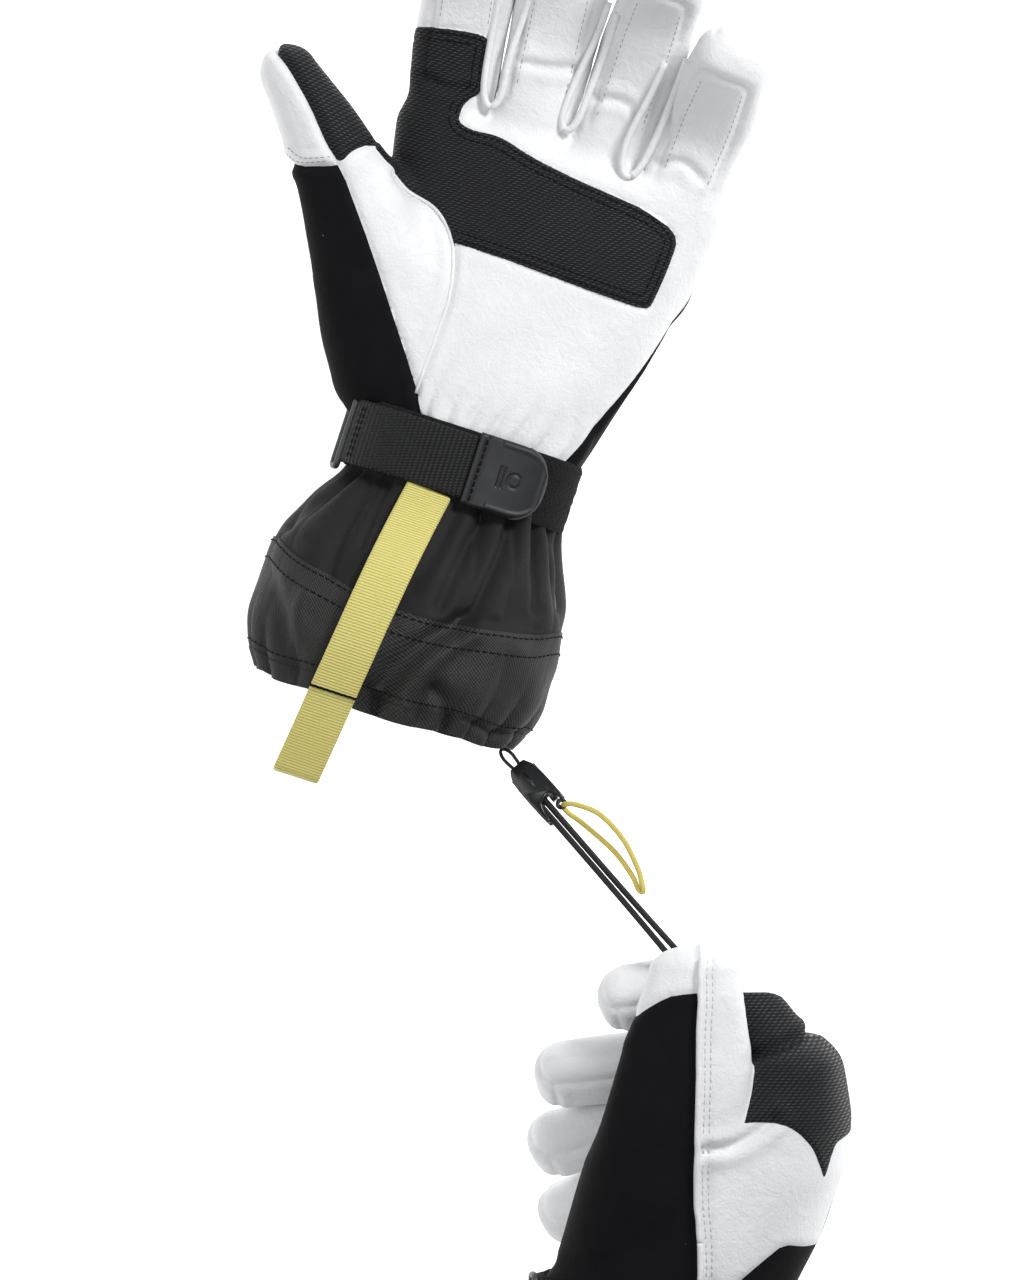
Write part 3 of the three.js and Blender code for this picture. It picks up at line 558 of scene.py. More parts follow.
def round_section(radius, sides=10, flat=1.0):
    angle = np.arange(sides) * 2 * math.pi / sides
    return np.stack([radius * np.cos(angle), radius * flat * np.sin(angle)], -1)


def tape_section(wide, thick, columns=14):
    """A flat tape's section: rounded selvedges and many points across, so that ribs can follow it."""
    x = np.linspace(-1, 1, columns)
    edge = np.sqrt(np.maximum(0.0, 1 - np.abs(x) ** 14)) * thick / 2 + thick * 0.12
    top = np.stack([x * wide / 2, edge], -1)
    return np.vstack([top, top[::-1] * [1, -1]])[::-1]


def tube(name, side, line, radius, material, body, up=(0, 0, 1), sides=10, flat=1.0, grow=None, **more):
    points, faces, tape = sweep(np.asarray(line, float), up, round_section(radius, sides, flat), grow)
    return make_mesh(name, side, points, faces, material, body, attributes={"tape": tape}, **more)


def tape(name, side, line, up, wide, thick, material, body, **more):
    points, faces, ribs = sweep(np.asarray(line, float), up, tape_section(wide, thick), None)
    return make_mesh(name, side, points, faces, material, body, attributes={"tape": ribs}, **more)


class Heap:
    """Many small meshes gathered into one."""

    def __init__(self):
        self.points, self.faces, self.count = [], [], 0

    def add(self, points, faces):
        self.points.append(points)
        self.faces += [[k + self.count for k in face] for face in faces]
        self.count += len(points)

    def make(self, name, side, material, body, **more):
        return make_mesh(name, side, np.vstack(self.points), self.faces, material, body, **more)


def stitch_heap(heap, line, normals, length=2.1, gap=0.75, radius=0.24, sink=0.1):
    """Stitches along a line on a surface: short threads that dive in at both ends."""
    steps = np.linalg.norm(np.diff(line, axis=0), axis=1)
    whole = np.concatenate([[0], np.cumsum(steps)])
    count = int(whole[-1] // (length + gap))
    at = lambda s, values: np.array([np.interp(s, whole, values[:, k]) for k in range(3)])
    for k in range(count):
        start = k * (length + gap) + gap / 2
        places = start + np.linspace(0, length, 4)
        lift = np.array([-0.25, 0.75, 0.75, -0.25]) * radius - sink
        spine = np.array([at(s, line) + at(s, normals) * h for s, h in zip(places, lift)])
        points, faces, _ = sweep(spine, unit(at(start, normals)), round_section(radius, 5))
        heap.add(points, faces)


# ---- fields --------------------------------------------------------------------------------------------


class Limb:
    """A digit's field: a rounded tapering tube along a path."""

    def __init__(self, path, half, across, back=0.0, power=2.3):
        self.line = catmull(path, 26)
        tangent = unit(np.gradient(self.line, axis=0))
        if back:
            self.line = np.vstack([self.line[0] - tangent[0] * back, self.line])
            tangent = np.vstack([tangent[0], tangent])
        self.v = unit(np.cross(tangent, np.broadcast_to(across, tangent.shape))) * -1
        self.u = unit(np.cross(self.v, tangent)) * -1
        half = np.asarray(half, float)
        place = np.linspace(0, 1, len(half))
        where = np.linspace(0, 1, 26)
        self.half = np.stack([np.interp(where, place, half[:, k]) for k in (0, 1)], -1)
        if back:
            self.half = np.vstack([self.half[0], self.half])
        self.tangent, self.power, self.back = tangent, power, back
        steps = np.linalg.norm(np.diff(self.line, axis=0), axis=1)
        self.length = np.concatenate([[0], np.cumsum(steps)]) - back
        self.reach = self.half.max() + 14

    def coordinates(self, p):
        """(place along, across, outwards, half sizes, beyond the end) of each point."""
        best = np.full(len(p), np.inf)
        seg = np.zeros(len(p), int)
        frac = np.zeros(len(p))
        for k in range(len(self.line) - 1):
            a, b = self.line[k], self.line[k + 1]
            ab = b - a
            t = (p - a) @ ab / (ab @ ab)
            clipped = np.clip(t, 0, 1)
            d = ((p - a - clipped[:, None] * ab) ** 2).sum(1)
            nearer = d < best
            best = np.where(nearer, d, best)
            seg = np.where(nearer, k, seg)
            frac = np.where(nearer, clipped, frac)
        mix = lambda table: table[seg] + (table[seg + 1] - table[seg]) * frac[:, None]
        centre, u, v, half, tangent = map(mix, (self.line, self.u, self.v, self.half, self.tangent))
        along = self.length[seg] + (self.length[seg + 1] - self.length[seg]) * frac
        rel = p - centre
        beyond = (rel * tangent).sum(1)
        return along, (rel * u).sum(1), (rel * v).sum(1), half, beyond

    def field(self, p):
        out = np.full(len(p), 40.0)
        low, high = self.line.min(0) - self.reach, self.line.max(0) + self.reach
        near = ((p > low) & (p < high)).all(1)
        if near.any():
            along, across, outward, half, beyond = self.coordinates(p[near])
            a, b = half[:, 0], half[:, 1]
            q = (np.abs(across / a) ** self.power + np.abs(outward / b) ** self.power) ** (2 / self.power)
            r = np.sqrt(q + (beyond / np.minimum(a, b)) ** 2)
            out[near] = (r - 1) * np.minimum(a, b)
        return out


class Body:
    """A hand's or cuff's field: rounded sections along Y."""

    def __init__(self, stations):
        table = np.asarray(sorted(stations), float)
        self.y = np.arange(table[0, 0] - 12, table[-1, 0] + 12, 1.0)
        kernel = np.hanning(17)
        kernel /= kernel.sum()
        smooth = lambda v: np.convolve(np.pad(v, 8, mode="edge"), kernel, mode="valid")
        columns = [smooth(np.interp(self.y, table[:, 0], table[:, k])) for k in range(1, 5)]
        self.table = np.stack(columns, -1)
        self.ends = table[0, 0], table[-1, 0]

    def at(self, y):
        return [np.interp(y, self.y, self.table[:, k]) for k in range(4)]

    def field(self, p):
        x0, z0, a, b = self.at(p[:, 1])
        r = (np.abs((p[:, 0] - x0) / a) ** POWER + np.abs((p[:, 2] - z0) / b) ** POWER) ** (1 / POWER)
        side = (r - 1) * np.minimum(a, b)
        end = p[:, 1] - self.ends[1]
        return smooth_max(side, end, 10.0)

    def surface(self, y, angle, out=0.0):
        """Points on the section at y; angle in radians from +X over the top."""
        x0, z0, a, b = self.at(y)
        c, s = np.cos(angle), np.sin(angle)
        curve = lambda t: np.sign(t) * np.abs(t) ** (2 / POWER)
        out_x, out_z = (a + out) * curve(c), (b + out) * curve(s)
        return np.stack([x0 + out_x, y + 0 * out_x, z0 + out_z], -1)


def smooth_min(a, b, k):
    h = np.clip(0.5 + 0.5 * (b - a) / k, 0, 1)
    return b + (a - b) * h - k * h * (1 - h)


def smooth_max(a, b, k):
    return -smooth_min(-a, -b, k)


def gradient(field, p, step=0.35):
    out = np.zeros_like(p)
    for k in range(3):
        move = np.zeros(3)
        move[k] = step
        out[:, k] = (field(p + move) - field(p - move)) / (2 * step)
    return out


def surface_net(field, low, high, cell):
    """Points and quads of the zero surface of a field, inside where it is negative."""
    low, high = np.asarray(low, float), np.asarray(high, float)
    shape = np.ceil((high - low) / cell).astype(int) + 1
    axes = [low[k] + cell * np.arange(shape[k]) for k in range(3)]
    values = np.empty(shape)
    for i, x in enumerate(axes[0]):
        yy, zz = np.meshgrid(axes[1], axes[2], indexing="ij")
        p = np.stack([np.full(yy.size, x), yy.ravel(), zz.ravel()], -1)
        values[i] = field(p).reshape(yy.shape)
    inside = values < 0
    total = np.zeros(tuple(shape - 1))
    sums = np.zeros(tuple(shape - 1) + (3,))
    count = np.zeros(tuple(shape - 1), int)
    corners = [(a, b, c) for a in (0, 1) for b in (0, 1) for c in (0, 1)]
    part = lambda g, o: g[o[0]:shape[0] - 1 + o[0], o[1]:shape[1] - 1 + o[1], o[2]:shape[2] - 1 + o[2]]
    for a in corners:
        for axis in range(3):
            if a[axis]:
                continue
            b = tuple(v + (k == axis) for k, v in enumerate(a))
            va, vb = part(values, a), part(values, b)
            cross = (va < 0) != (vb < 0)
            t = np.where(cross, va / np.where(cross, va - vb, 1), 0)
            for k in range(3):
                sums[..., k] += np.where(cross, a[k] + (t if k == axis else 0), 0)
            count += cross
    used = count > 0
    index = np.full(used.shape, -1)
    index[used] = np.arange(used.sum())
    cells = np.argwhere(used)
    points = low + cell * (cells + sums[used] / count[used][:, None])
    faces = []
    for axis in range(3):
        b, c = (axis + 1) % 3, (axis + 2) % 3
        one = [slice(None)] * 3
        two = [slice(None)] * 3
        one[axis], two[axis] = slice(0, -1), slice(1, None)
        cross = inside[tuple(one)] != inside[tuple(two)]
        at = np.argwhere(cross)
        at = at[(at[:, b] > 0) & (at[:, c] > 0) & (at[:, b] < shape[b] - 1) & (at[:, c] < shape[c] - 1)]
        db, dc = np.eye(3, dtype=int)[b], np.eye(3, dtype=int)[c]
        quad = [at, at - db, at - db - dc, at - dc]
        quad = np.stack([index[tuple(q.T)] for q in quad], -1)
        out = inside[tuple(at.T)]
        quad[~out] = quad[~out][:, ::-1]
        faces.append(quad)
    return points, np.vstack(faces)


class Skin:
    """A triangle mesh with one label for each face, which can be cut along the zero lines of functions."""

    def __init__(self, field, low, high, cell):
        points, quads = surface_net(field, low, high, cell)
        for _ in range(3):
            value = field(points)
            slope = gradient(field, points)
            size = (slope ** 2).sum(1)
            points = points - slope * (np.clip(value, -cell, cell) / np.maximum(size, 0.05))[:, None]
        self.points = points
        self.faces = np.vstack([quads[:, [0, 1, 2]], quads[:, [0, 2, 3]]])
        self.labels = np.zeros(len(self.faces), int)
        self.field = field

    def cut(self, function, label, new_label):
        """Faces of a label where function is below zero take the new label. Faces on the line are split."""
        value = function(self.points)
        value = np.where(np.abs(value) < 1e-4, 1e-4, value)
        mine = self.labels == label if label is not None else np.ones(len(self.labels), bool)
        below = value[self.faces] < 0
        count = below.sum(1)
        self.labels[mine & (count == 3)] = new_label
        mixed_rows = np.flatnonzero((count > 0) & (count < 3))
        edges, points = {}, [self.points]
        added = len(self.points)
        extra = []
        new_faces, new_labels = [], []

        def middle(a, b):
            nonlocal added
            key = (min(a, b), max(a, b))
            if key not in edges:
                t = value[a] / (value[a] - value[b])
                extra.append(self.points[a] + (self.points[b] - self.points[a]) * t)
                edges[key] = added
                added += 1
            return edges[key]

        for row in mixed_rows:
            face = self.faces[row]
            flags = below[row]
            lone = int(np.flatnonzero(flags)[0]) if flags.sum() == 1 else int(np.flatnonzero(~flags)[0])
            a, b, c = face[lone], face[(lone + 1) % 3], face[(lone + 2) % 3]
            ab, ac = middle(a, b), middle(a, c)
            inner = new_label if mine[row] else self.labels[row]
            lone_label, rest_label = (inner, self.labels[row]) if flags[lone] else (self.labels[row], inner)
            new_faces += [(a, ab, ac), (ab, b, c), (ab, c, ac)]
            new_labels += [lone_label, rest_label, rest_label]
        if extra:
            self.points = np.vstack([self.points, np.array(extra)])
            keep = np.ones(len(self.faces), bool)
            keep[mixed_rows] = False
            self.faces = np.vstack([self.faces[keep], np.array(new_faces)])
            self.labels = np.concatenate([self.labels[keep], np.array(new_labels)])

    def piece(self, labels):
        """Points, triangles and the points' rows in this skin, of the faces with these labels."""
        chosen = self.faces[np.isin(self.labels, labels)]
        rows, inverse = np.unique(chosen, return_inverse=True)
        return rows, inverse.reshape(chosen.shape)


def outline_distance(outline):
    """Signed distance to a closed outline in plan, negative inside."""
    outline = np.asarray(outline, float)

    def distance(p):
        xy = p[:, :2]
        best = np.full(len(xy), np.inf)
        inside = np.zeros(len(xy), bool)
        for a, b in zip(outline, np.roll(outline, -1, axis=0)):
            ab = b - a
            t = np.clip((xy - a) @ ab / (ab @ ab), 0, 1)
            best = np.minimum(best, ((xy - a - t[:, None] * ab) ** 2).sum(1))
            crosses = (a[1] > xy[:, 1]) != (b[1] > xy[:, 1])
            x = a[0] + (xy[:, 1] - a[1]) * ab[0] / (ab[1] if ab[1] else 1e-9)
            inside ^= crosses & (xy[:, 0] < x)
        return np.where(inside, -1, 1) * np.sqrt(best)

    return distance


def rounded(outline, passes=2):
    """An outline with its corners cut, so that a seam turns smoothly."""
    p = np.asarray(outline, float)
    for _ in range(passes):
        q = np.roll(p, -1, axis=0)
        p = np.stack([0.8 * p + 0.2 * q, 0.2 * p + 0.8 * q], 1).reshape(-1, 2)
    return p


def line_distance(line):
    """Distance in plan to an open line."""
    line = np.asarray(line, float)

    def distance(p):
        xy = p[:, :2]
        best = np.full(len(xy), np.inf)
        for a, b in zip(line[:-1], line[1:]):
            ab = b - a
            t = np.clip((xy - a) @ ab / (ab @ ab), 0, 1)
            best = np.minimum(best, ((xy - a - t[:, None] * ab) ** 2).sum(1))
        return np.sqrt(best)

    return distance


def step_up(x, low, high):
    t = np.clip((x - low) / (high - low), 0, 1)
    return t * t * (3 - 2 * t)


def groove(distance, depth=0.9, wide=1.3, puff=0.35):
    """How far a seam pulls the surface in, with the fabric's swelling beside it."""
    return -depth * np.exp(-(distance / wide) ** 2) + puff * np.exp(-((distance - 3.4) / 2.2) ** 2)


def wave_noise(p, scale, seed, count=7):
    """Smooth repeatable noise of about unit size, from a few waves."""
    rng = np.random.default_rng(seed)
    out = np.zeros(len(p))
    for _ in range(count):
        way = unit(rng.normal(size=3)) * rng.uniform(0.6, 1.5) * scale
        out += np.sin(p @ way * 2 * math.pi + rng.uniform(0, 6.28))
    return out / math.sqrt(count)


# ---- a glove's hand ------------------------------------------------------------------------------------


def left_finger_limb(base, lean, lengths, pitches, wide):
    path = [np.array(base, float)]
    for length, pitch in zip(lengths, pitches):
        flat, up = length * math.cos(math.radians(pitch)), length * math.sin(math.radians(pitch))
        path.append(path[-1] + [flat * math.sin(math.radians(lean)), flat * math.cos(math.radians(lean)), up])
    # The tube's round tip reaches past its last point.
    across = np.array([math.cos(math.radians(lean)), -math.sin(math.radians(lean)), 0])
    half = [(wide / 2, 13.8), (wide / 2 + 0.8, 13.6), (wide / 2 + 1.2, 13.2), (wide / 2 - 0.8, 12.2)]
    return Limb(path, half, across, back=26)


def right_finger_limb(path, wide):
    half = [(wide / 2, 12.8), (wide / 2, 12.8), (wide / 2 + 0.4, 13), (wide / 2 - 0.8, 12.2)]
    return Limb(path, half, KNUCKLE_AXIS, back=8)


# Neighbouring left fingers are pressed together, with a narrow slit between them from this y on.
SLITS = [("index", "middle", 140.0), ("middle", "ring", 140.0), ("ring", "little", 130.5)]


class Hand:
    """The fields of one glove's hand."""

    def __init__(self, side):
        self.side = side
        left = side == "left"
        self.body = Body(LEFT_HAND if left else RIGHT_HAND)
        make, fingers = (left_finger_limb, LEFT_FINGERS) if left else (right_finger_limb, RIGHT_FINGERS)
        self.fingers = {name: make(**facts) for name, facts in fingers.items()}
        thumb = LEFT_THUMB if left else RIGHT_THUMB
        self.thumb = Limb(thumb["path"], thumb["half"], np.array(thumb["across"], float), back=14)

    def fist(self, p):
        """The field of the fingers alone."""
        out = np.full(len(p), 40.0)
        for limb in self.fingers.values():
            out = smooth_min(out, limb.field(p), 0.9)
        return out

    def field(self, p):
        palm = self.body.field(p)
        if self.side == "left":
            hollow = np.exp(-((p[:, 0] - 12) / 22) ** 2 - ((p[:, 1] - 66) / 26) ** 2)
            palm = palm + 2.6 * hollow * (p[:, 2] > 30)
            palm = smooth_min(palm, self.fist(p), 5.0)
            for first, second, start in SLITS:
                slit = np.maximum(np.abs(between(first, second)(p)) - 0.75, start - p[:, 1])
                palm = smooth_max(palm, -slit, 0.8)
            out = smooth_min(palm, self.thumb.field(p), 7.0)
        else:
            palm = smooth_min(palm, self.fist(p), 3.0)
            out = smooth_min(palm, self.thumb.field(p), 3.2)
        return out


def project(tree, xy, lift=0.0, high=160.0):
    """Points and normals where the surface is first met from above, in the glove's frame."""
    points, normals = [], []
    for x, y in xy:
        hit, normal, _, _ = tree.ray_cast(Vector((x, y, high)), Vector((0, 0, -1)))
        if hit is None:
            hit, normal, _, _ = tree.find_nearest(Vector((x, y, 40)))
        points.append(np.array(hit) + np.array(normal) * lift)
        normals.append(np.array(normal))
    return smooth_line(np.array(points)), unit(smooth_line(np.array(normals)))


def smooth_line(line, passes=3):
    for _ in range(passes):
        inner = 0.25 * line[:-2] + 0.5 * line[1:-1] + 0.25 * line[2:]
        line = np.vstack([line[:1], inner, line[-1:]])
    return line


def joined_by(side, digit):
    """Start and end of a digit's bend, in the row frame."""
    hand = HANDS[side]
    limb = hand.thumb if digit == "thumb" else hand.fingers[digit]
    at = lambda s: np.array([np.interp(s, limb.length, limb.line[:, k]) for k in range(3)])
    start, end = (4, 26) if side == "left" else (-4, 14)
    if digit == "thumb":
        start, end = -6, 24
    return to_row(side, at(start)), to_row(side, at(end))


HANDS = {side: Hand(side) for side in ("left", "right")}

LEFT_SEAM_PATCH = outline_distance(rounded(LEFT_PATCH))
LEFT_SEAM_BLACK = outline_distance(rounded(LEFT_THUMB_BLACK, 1))
LEFT_SEAM_CAP = outline_distance(rounded(LEFT_THUMB_CAP, 1))
LEFT_SEAM_TIP = outline_distance(rounded(LEFT_THUMB_PATCH, 1))
LEFT_SEAM_GUSSET = line_distance(catmull(LEFT_GUSSET, 40))


def left_side_seam(p):
    """Negative on the back of the hand: the height over the seam between palm and back."""
    y = p[:, 1]
    ulnar = np.interp(y, [0, 14, 37, 58, 77, 110], [46, 44, 40, 33, 26, 20])
    radial = np.interp(y, [0, 60, 100, 130], [30, 26, 20, 18])
    seam = np.where(p[:, 0] > 0, ulnar, radial)
    mix = step_up(p[:, 0], -12, 12)
    return p[:, 2] - (radial * (1 - mix) + ulnar * mix)


def finger_line(p):
    """Positive beyond the line where the fingers part from the palm."""
    line = np.array(FINGER_LINE, float)
    return p[:, 1] - np.interp(p[:, 0], line[:, 0], line[:, 1])


def between(first, second):
    """Positive on the second finger's side of the plane midway between two left fingers."""
    a, b = LEFT_FINGERS[first], LEFT_FINGERS[second]
    at = (np.array(a["base"]) + np.array(b["base"])) / 2
    lean = math.radians((a["lean"] + b["lean"]) / 2)
    return lambda p: (p[:, 0] - at[0]) * math.cos(lean) - (p[:, 1] - at[1]) * math.sin(lean)


def thumb_part(p):
    """Negative in the left thumb, which starts at a slanting line across the heel of the hand."""
    way = np.array([-0.645, 0.765])
    return -((p[:, :2] - np.array(LEFT_THUMB_BASE[:2])) @ way + 16)


def left_thumb_side(p):
    """Negative on the thumb's side of the gusset seam."""
    line = np.array([(-70, 106), (-53.2, 95.4), (-41.4, 91.8), (-33.4, 85.6), (-28.6, 76.4), (-24.8, 61.4),
                     (-24.9, 45.2), (-25.4, 30), (-25.5, 8)])
    outline = np.vstack([line, [(-300, 8), (-300, 220), (-90, 220)]])
    return outline_distance(outline)(p)


def left_relief(p, hand):
    """How far each point of the left hand is moved along its normal by seams, patches, folds and creases."""
    top = step_up(p[:, 2], 28, 36)
    move = np.zeros(len(p))
    patch = LEFT_SEAM_PATCH(p)
    on_hand = step_up(left_thumb_side(p), -0.5, 1.0)
    raised = step_up(-patch, 0.0, 0.9) * top * on_hand
    move += raised * 0.9
    edge = np.exp(-((np.abs(patch + 1.9)) / 0.8) ** 2) + 0.8 * np.exp(-((np.abs(patch + 4.6)) / 0.8) ** 2)
    move -= 0.4 * edge * (patch < 0) * top * on_hand
    move += groove(np.abs(patch), 0.5, 0.9, 0.1) * (patch > 0) * top * on_hand
    fingers = step_up(finger_line(p), 4, 12)
    thumb_near = step_up(-left_thumb_side(p), 0, 2)
    move += groove(LEFT_SEAM_GUSSET(p), 1.0, 1.3, 0.5) * top
    black = LEFT_SEAM_BLACK(p)
    move += groove(np.abs(black), 0.8, 1.2, 0.3) * (1 - fingers) * top
    cap = LEFT_SEAM_CAP(p)
    tip = LEFT_SEAM_TIP(p)
    move += groove(np.abs(cap), 0.8, 1.1, 0.3) * thumb_near
    move += groove(np.abs(tip), 0.7, 1.1, 0.1) * thumb_near * top
    move += groove(np.abs(left_side_seam(p)), 0.9, 1.5, 0.4) * (1 - thumb_near) * (1 - fingers)
    for limb in hand.fingers.values():
        along, across, outward, half, beyond = limb.coordinates(p)
        near = (np.abs(across) < half[:, 0] + 2.5) & (np.abs(outward) < half[:, 1] + 3) & (along > 10)
        end = limb.length[-1] + 1
        across_seam = np.abs(np.abs(across) - 0.66 * half[:, 0])
        past_side = np.maximum(np.abs(across) - 0.3 * half[:, 0], 0)
        corner = np.hypot(past_side, np.maximum(along + beyond - end + 6, 0))
        face_seam = np.where(along + beyond > end - 6, np.abs(corner - 0.36 * half[:, 0]), across_seam)
        fade = step_up(along, 9, 22) * near
        move += groove(face_seam, 0.85, 1.0, 0.45) * fade * (outward > 0)
        move += groove(across_seam, 0.6, 1.0, 0.3) * fade * (outward < 0)
    for crease in LEFT_CREASES:
        curve = catmull(crease, 20)
        distance = line_distance(curve)(p)
        move += (-1.2 * np.exp(-(distance / 1.6) ** 2) + 0.5 * np.exp(-((distance - 4) / 2.5) ** 2)) * top
    # Soft wrinkles run up from the strap, and the leather is slightly uneven everywhere.
    wrist = np.exp(-((p[:, 1] - 12) / 15) ** 2) * (black > 0)
    radial = p[:, 0] * 0.36 + 0.9 * np.sin(p[:, 1] * 0.12 + p[:, 0] * 0.05)
    move += wrist * (2.2 * np.abs(np.sin(radial)) - 1.3) * top
    move += 0.42 * wave_noise(p * [1, 0.6, 1], 0.035, 3) * (1 - raised * 0.4)
    return move


def right_relief(p, hand):
    move = np.zeros(len(p))
    thumb = hand.thumb.field(p)
    on_thumb = step_up(-(thumb - 1.0), 0, 1.2) * (p[:, 2] > 60)
    welt = line_distance(RIGHT_WELT)(p)
    top = step_up(p[:, 2], 60, 70)
    right_of = step_up(p[:, 0] - 8, -0.4, 0.4)
    move += top * (1.3 * np.exp(-(welt / 0.9) ** 2) - 0.6 * np.exp(-((welt - 4.5) / 1.1) ** 2) * right_of)
    black_top = line_distance(catmull(RIGHT_BLACK_TOP, 40))(p)
    move += groove(black_top, 0.8, 1.1, 0.3) * (p[:, 0] < 8) * on_thumb
    patch = RIGHT_SEAM_PATCH(p)
    radial = step_up(p[:, 2], 56, 66) * (1 - on_thumb)
    move += step_up(-patch, 0, 0.9) * 0.9 * radial
    fold = line_distance([(25, 99), (40, 104), (58, 112)])(p)
    move += (-1.7 * np.exp(-(fold / 1.6) ** 2) + 0.8 * np.exp(-((fold - 4.5) / 2.4) ** 2)) * radial
    back = RIGHT_SEAM_BACK(p)
    move += groove(np.abs(back), 0.7, 1.1, 0.2) * top
    crease = line_distance(catmull([(9, 66), (20, 67), (30, 73), (36, 78)], 20))(p)
    move += (-1.6 * np.exp(-(crease / 1.7) ** 2) + 1.0 * np.exp(-((crease - 4.5) / 3) ** 2)) * top
    for limb in hand.fingers.values():
        along, across, outward, half, beyond = limb.coordinates(p)
        near = (np.abs(across) < half[:, 0] + 2.5) & (np.abs(outward) < half[:, 1] + 3)
        end = limb.length[-1]
        across_seam = np.abs(np.abs(across) - 0.62 * half[:, 0])
        fade = step_up(along, 26, 36) * near
        round_end = np.abs(along + beyond - end - 4)
        move += groove(across_seam, 0.75, 1.0, 0.5) * fade
        at_tip = (along > end - 2) * (np.abs(across) < 0.62 * half[:, 0])
        move += groove(round_end, 0.6, 0.9, 0.3) * at_tip * near
    move += 0.5 * wave_noise(p * [0.7, 0.7, 1], 0.03, 8)
    return move


RIGHT_SEAM_PATCH = outline_distance(rounded(RIGHT_PATCH))
RIGHT_SEAM_BACK = outline_distance(rounded(RIGHT_BACK_EDGE, 1))


def right_back_side(p):
    """Negative on the back of the right hand: black fabric, beyond the seam from the top view round below."""
    spine = np.interp(p[:, 1], [12, 32, 54, 76, 98, 107], [20, 33, 46, 54, 56, 55])
    low = spine + 6 - p[:, 0]
    plan = RIGHT_SEAM_BACK(p)
    return np.where(p[:, 2] > 62, plan, np.maximum(low, -40))


def moved_points(skin, relief, hand):
    normals = unit(gradient(skin.field, skin.points))
    return skin.points + normals * relief(skin.points, hand)[:, None]


def bend_with(piece, side, digit):
    start, end = joined_by(side, digit)
    tuple(start)
    tuple(end)
    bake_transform(piece)


def hand_mesh(name, side, points, faces, material, slot, digit=None, node=()):
    """A mesh piece that rides the hand, or, for a digit, stands alone with its transform baked into it."""
    body = None if digit else f"{side}_hand"
    piece = make_mesh(name, side, points, faces, material, body, node=node, slot=slot)
    if digit:
        bend_with(piece, side, digit)
    return piece


def panel(name, side, skin, points, labels, material, digit=None, node=()):
    """One panel of a hand's skin."""
    rows, faces = skin.piece(labels)
    if not len(faces):
        raise SystemExit(f"{name} has no faces")
    piece = hand_mesh(name, side, points[rows], faces, material, material, digit, node)


def make_inner_skins(side):
    """Closed skins under the panels, seen only where a bent digit draws away from the palm."""
    hand = HANDS[side]
    parts = {**hand.fingers, "thumb": hand.thumb, "palm": hand.body}
    for name, part in parts.items():
        if name == "palm":
            low, high = (-80, CUT_Y + 2, 0), (90, 150, 110)
        else:
            low, high = part.line.min(0) - part.reach, part.line.max(0) + part.reach
        points, faces = surface_net(lambda p: part.field(p) + SKIN_DEPTH, low, high, 2 * CELL)
        points[:, 2] = np.maximum(points[:, 2], 1.25 + SKIN_DEPTH)
        material = "softshell" if side == "left" and name in ("palm", "thumb") else "leather"
        digit = None if name == "palm" else name
        hand_mesh(f"{side}_{name}_inner_skin", side, points, faces.tolist(), material, material, digit)


# The panels of each hand: name, labels on the skin, material, digit that it belongs to, CAD nodes.
LEFT_PANELS = [
    ("palm_leather", [0], "leather", None, ["palm_panel"]),
    ("palm_grip", [1], "grip", None, ["palm_patch"]),
    ("back_shell", [2, 3], "softshell", None, ["back_panel"]),
    ("index_leather", [10], "leather", "index", ["index_finger"]),
    ("index_grip", [11], "grip", "index", ["index_patch"]),
    ("middle_leather", [20], "leather", "middle", ["middle_finger"]),
    ("ring_leather", [30], "leather", "ring", ["ring_finger"]),
    ("little_leather", [40], "leather", "little", ["little_finger"]),
    ("thumb_leather", [50], "leather", "thumb", []),
    ("thumb_grip", [51], "grip", "thumb", ["thumb_patch"]),
    ("thumb_tip_cap", [52], "leather", "thumb", ["thumb_cap"]),
    ("thumb_shell", [53], "softshell", "thumb", ["thumb"]),
]
RIGHT_PANELS = [
    ("palm_leather", [0], "leather", None, ["palm_panel"]),
    ("palm_grip", [1], "grip", None, ["palm_patch"]),
    ("back_shell", [2], "softshell", None, ["back_panel"]),
    ("heel_shell", [3], "softshell", None, []),
    ("index_leather", [10], "leather", "index", ["index_finger"]),
    ("middle_leather", [20], "leather", "middle", ["middle_finger"]),
    ("ring_leather", [30], "leather", "ring", ["ring_finger"]),
    ("little_leather", [40], "leather", "little", ["little_finger"]),
    ("thumb_leather", [50], "leather", "thumb", ["thumb", "thumb_patch"]),
    ("thumb_shell", [51], "softshell", "thumb", []),
    ("thumb_tip_cap", [52], "leather", "thumb", ["thumb_cap"]),
]


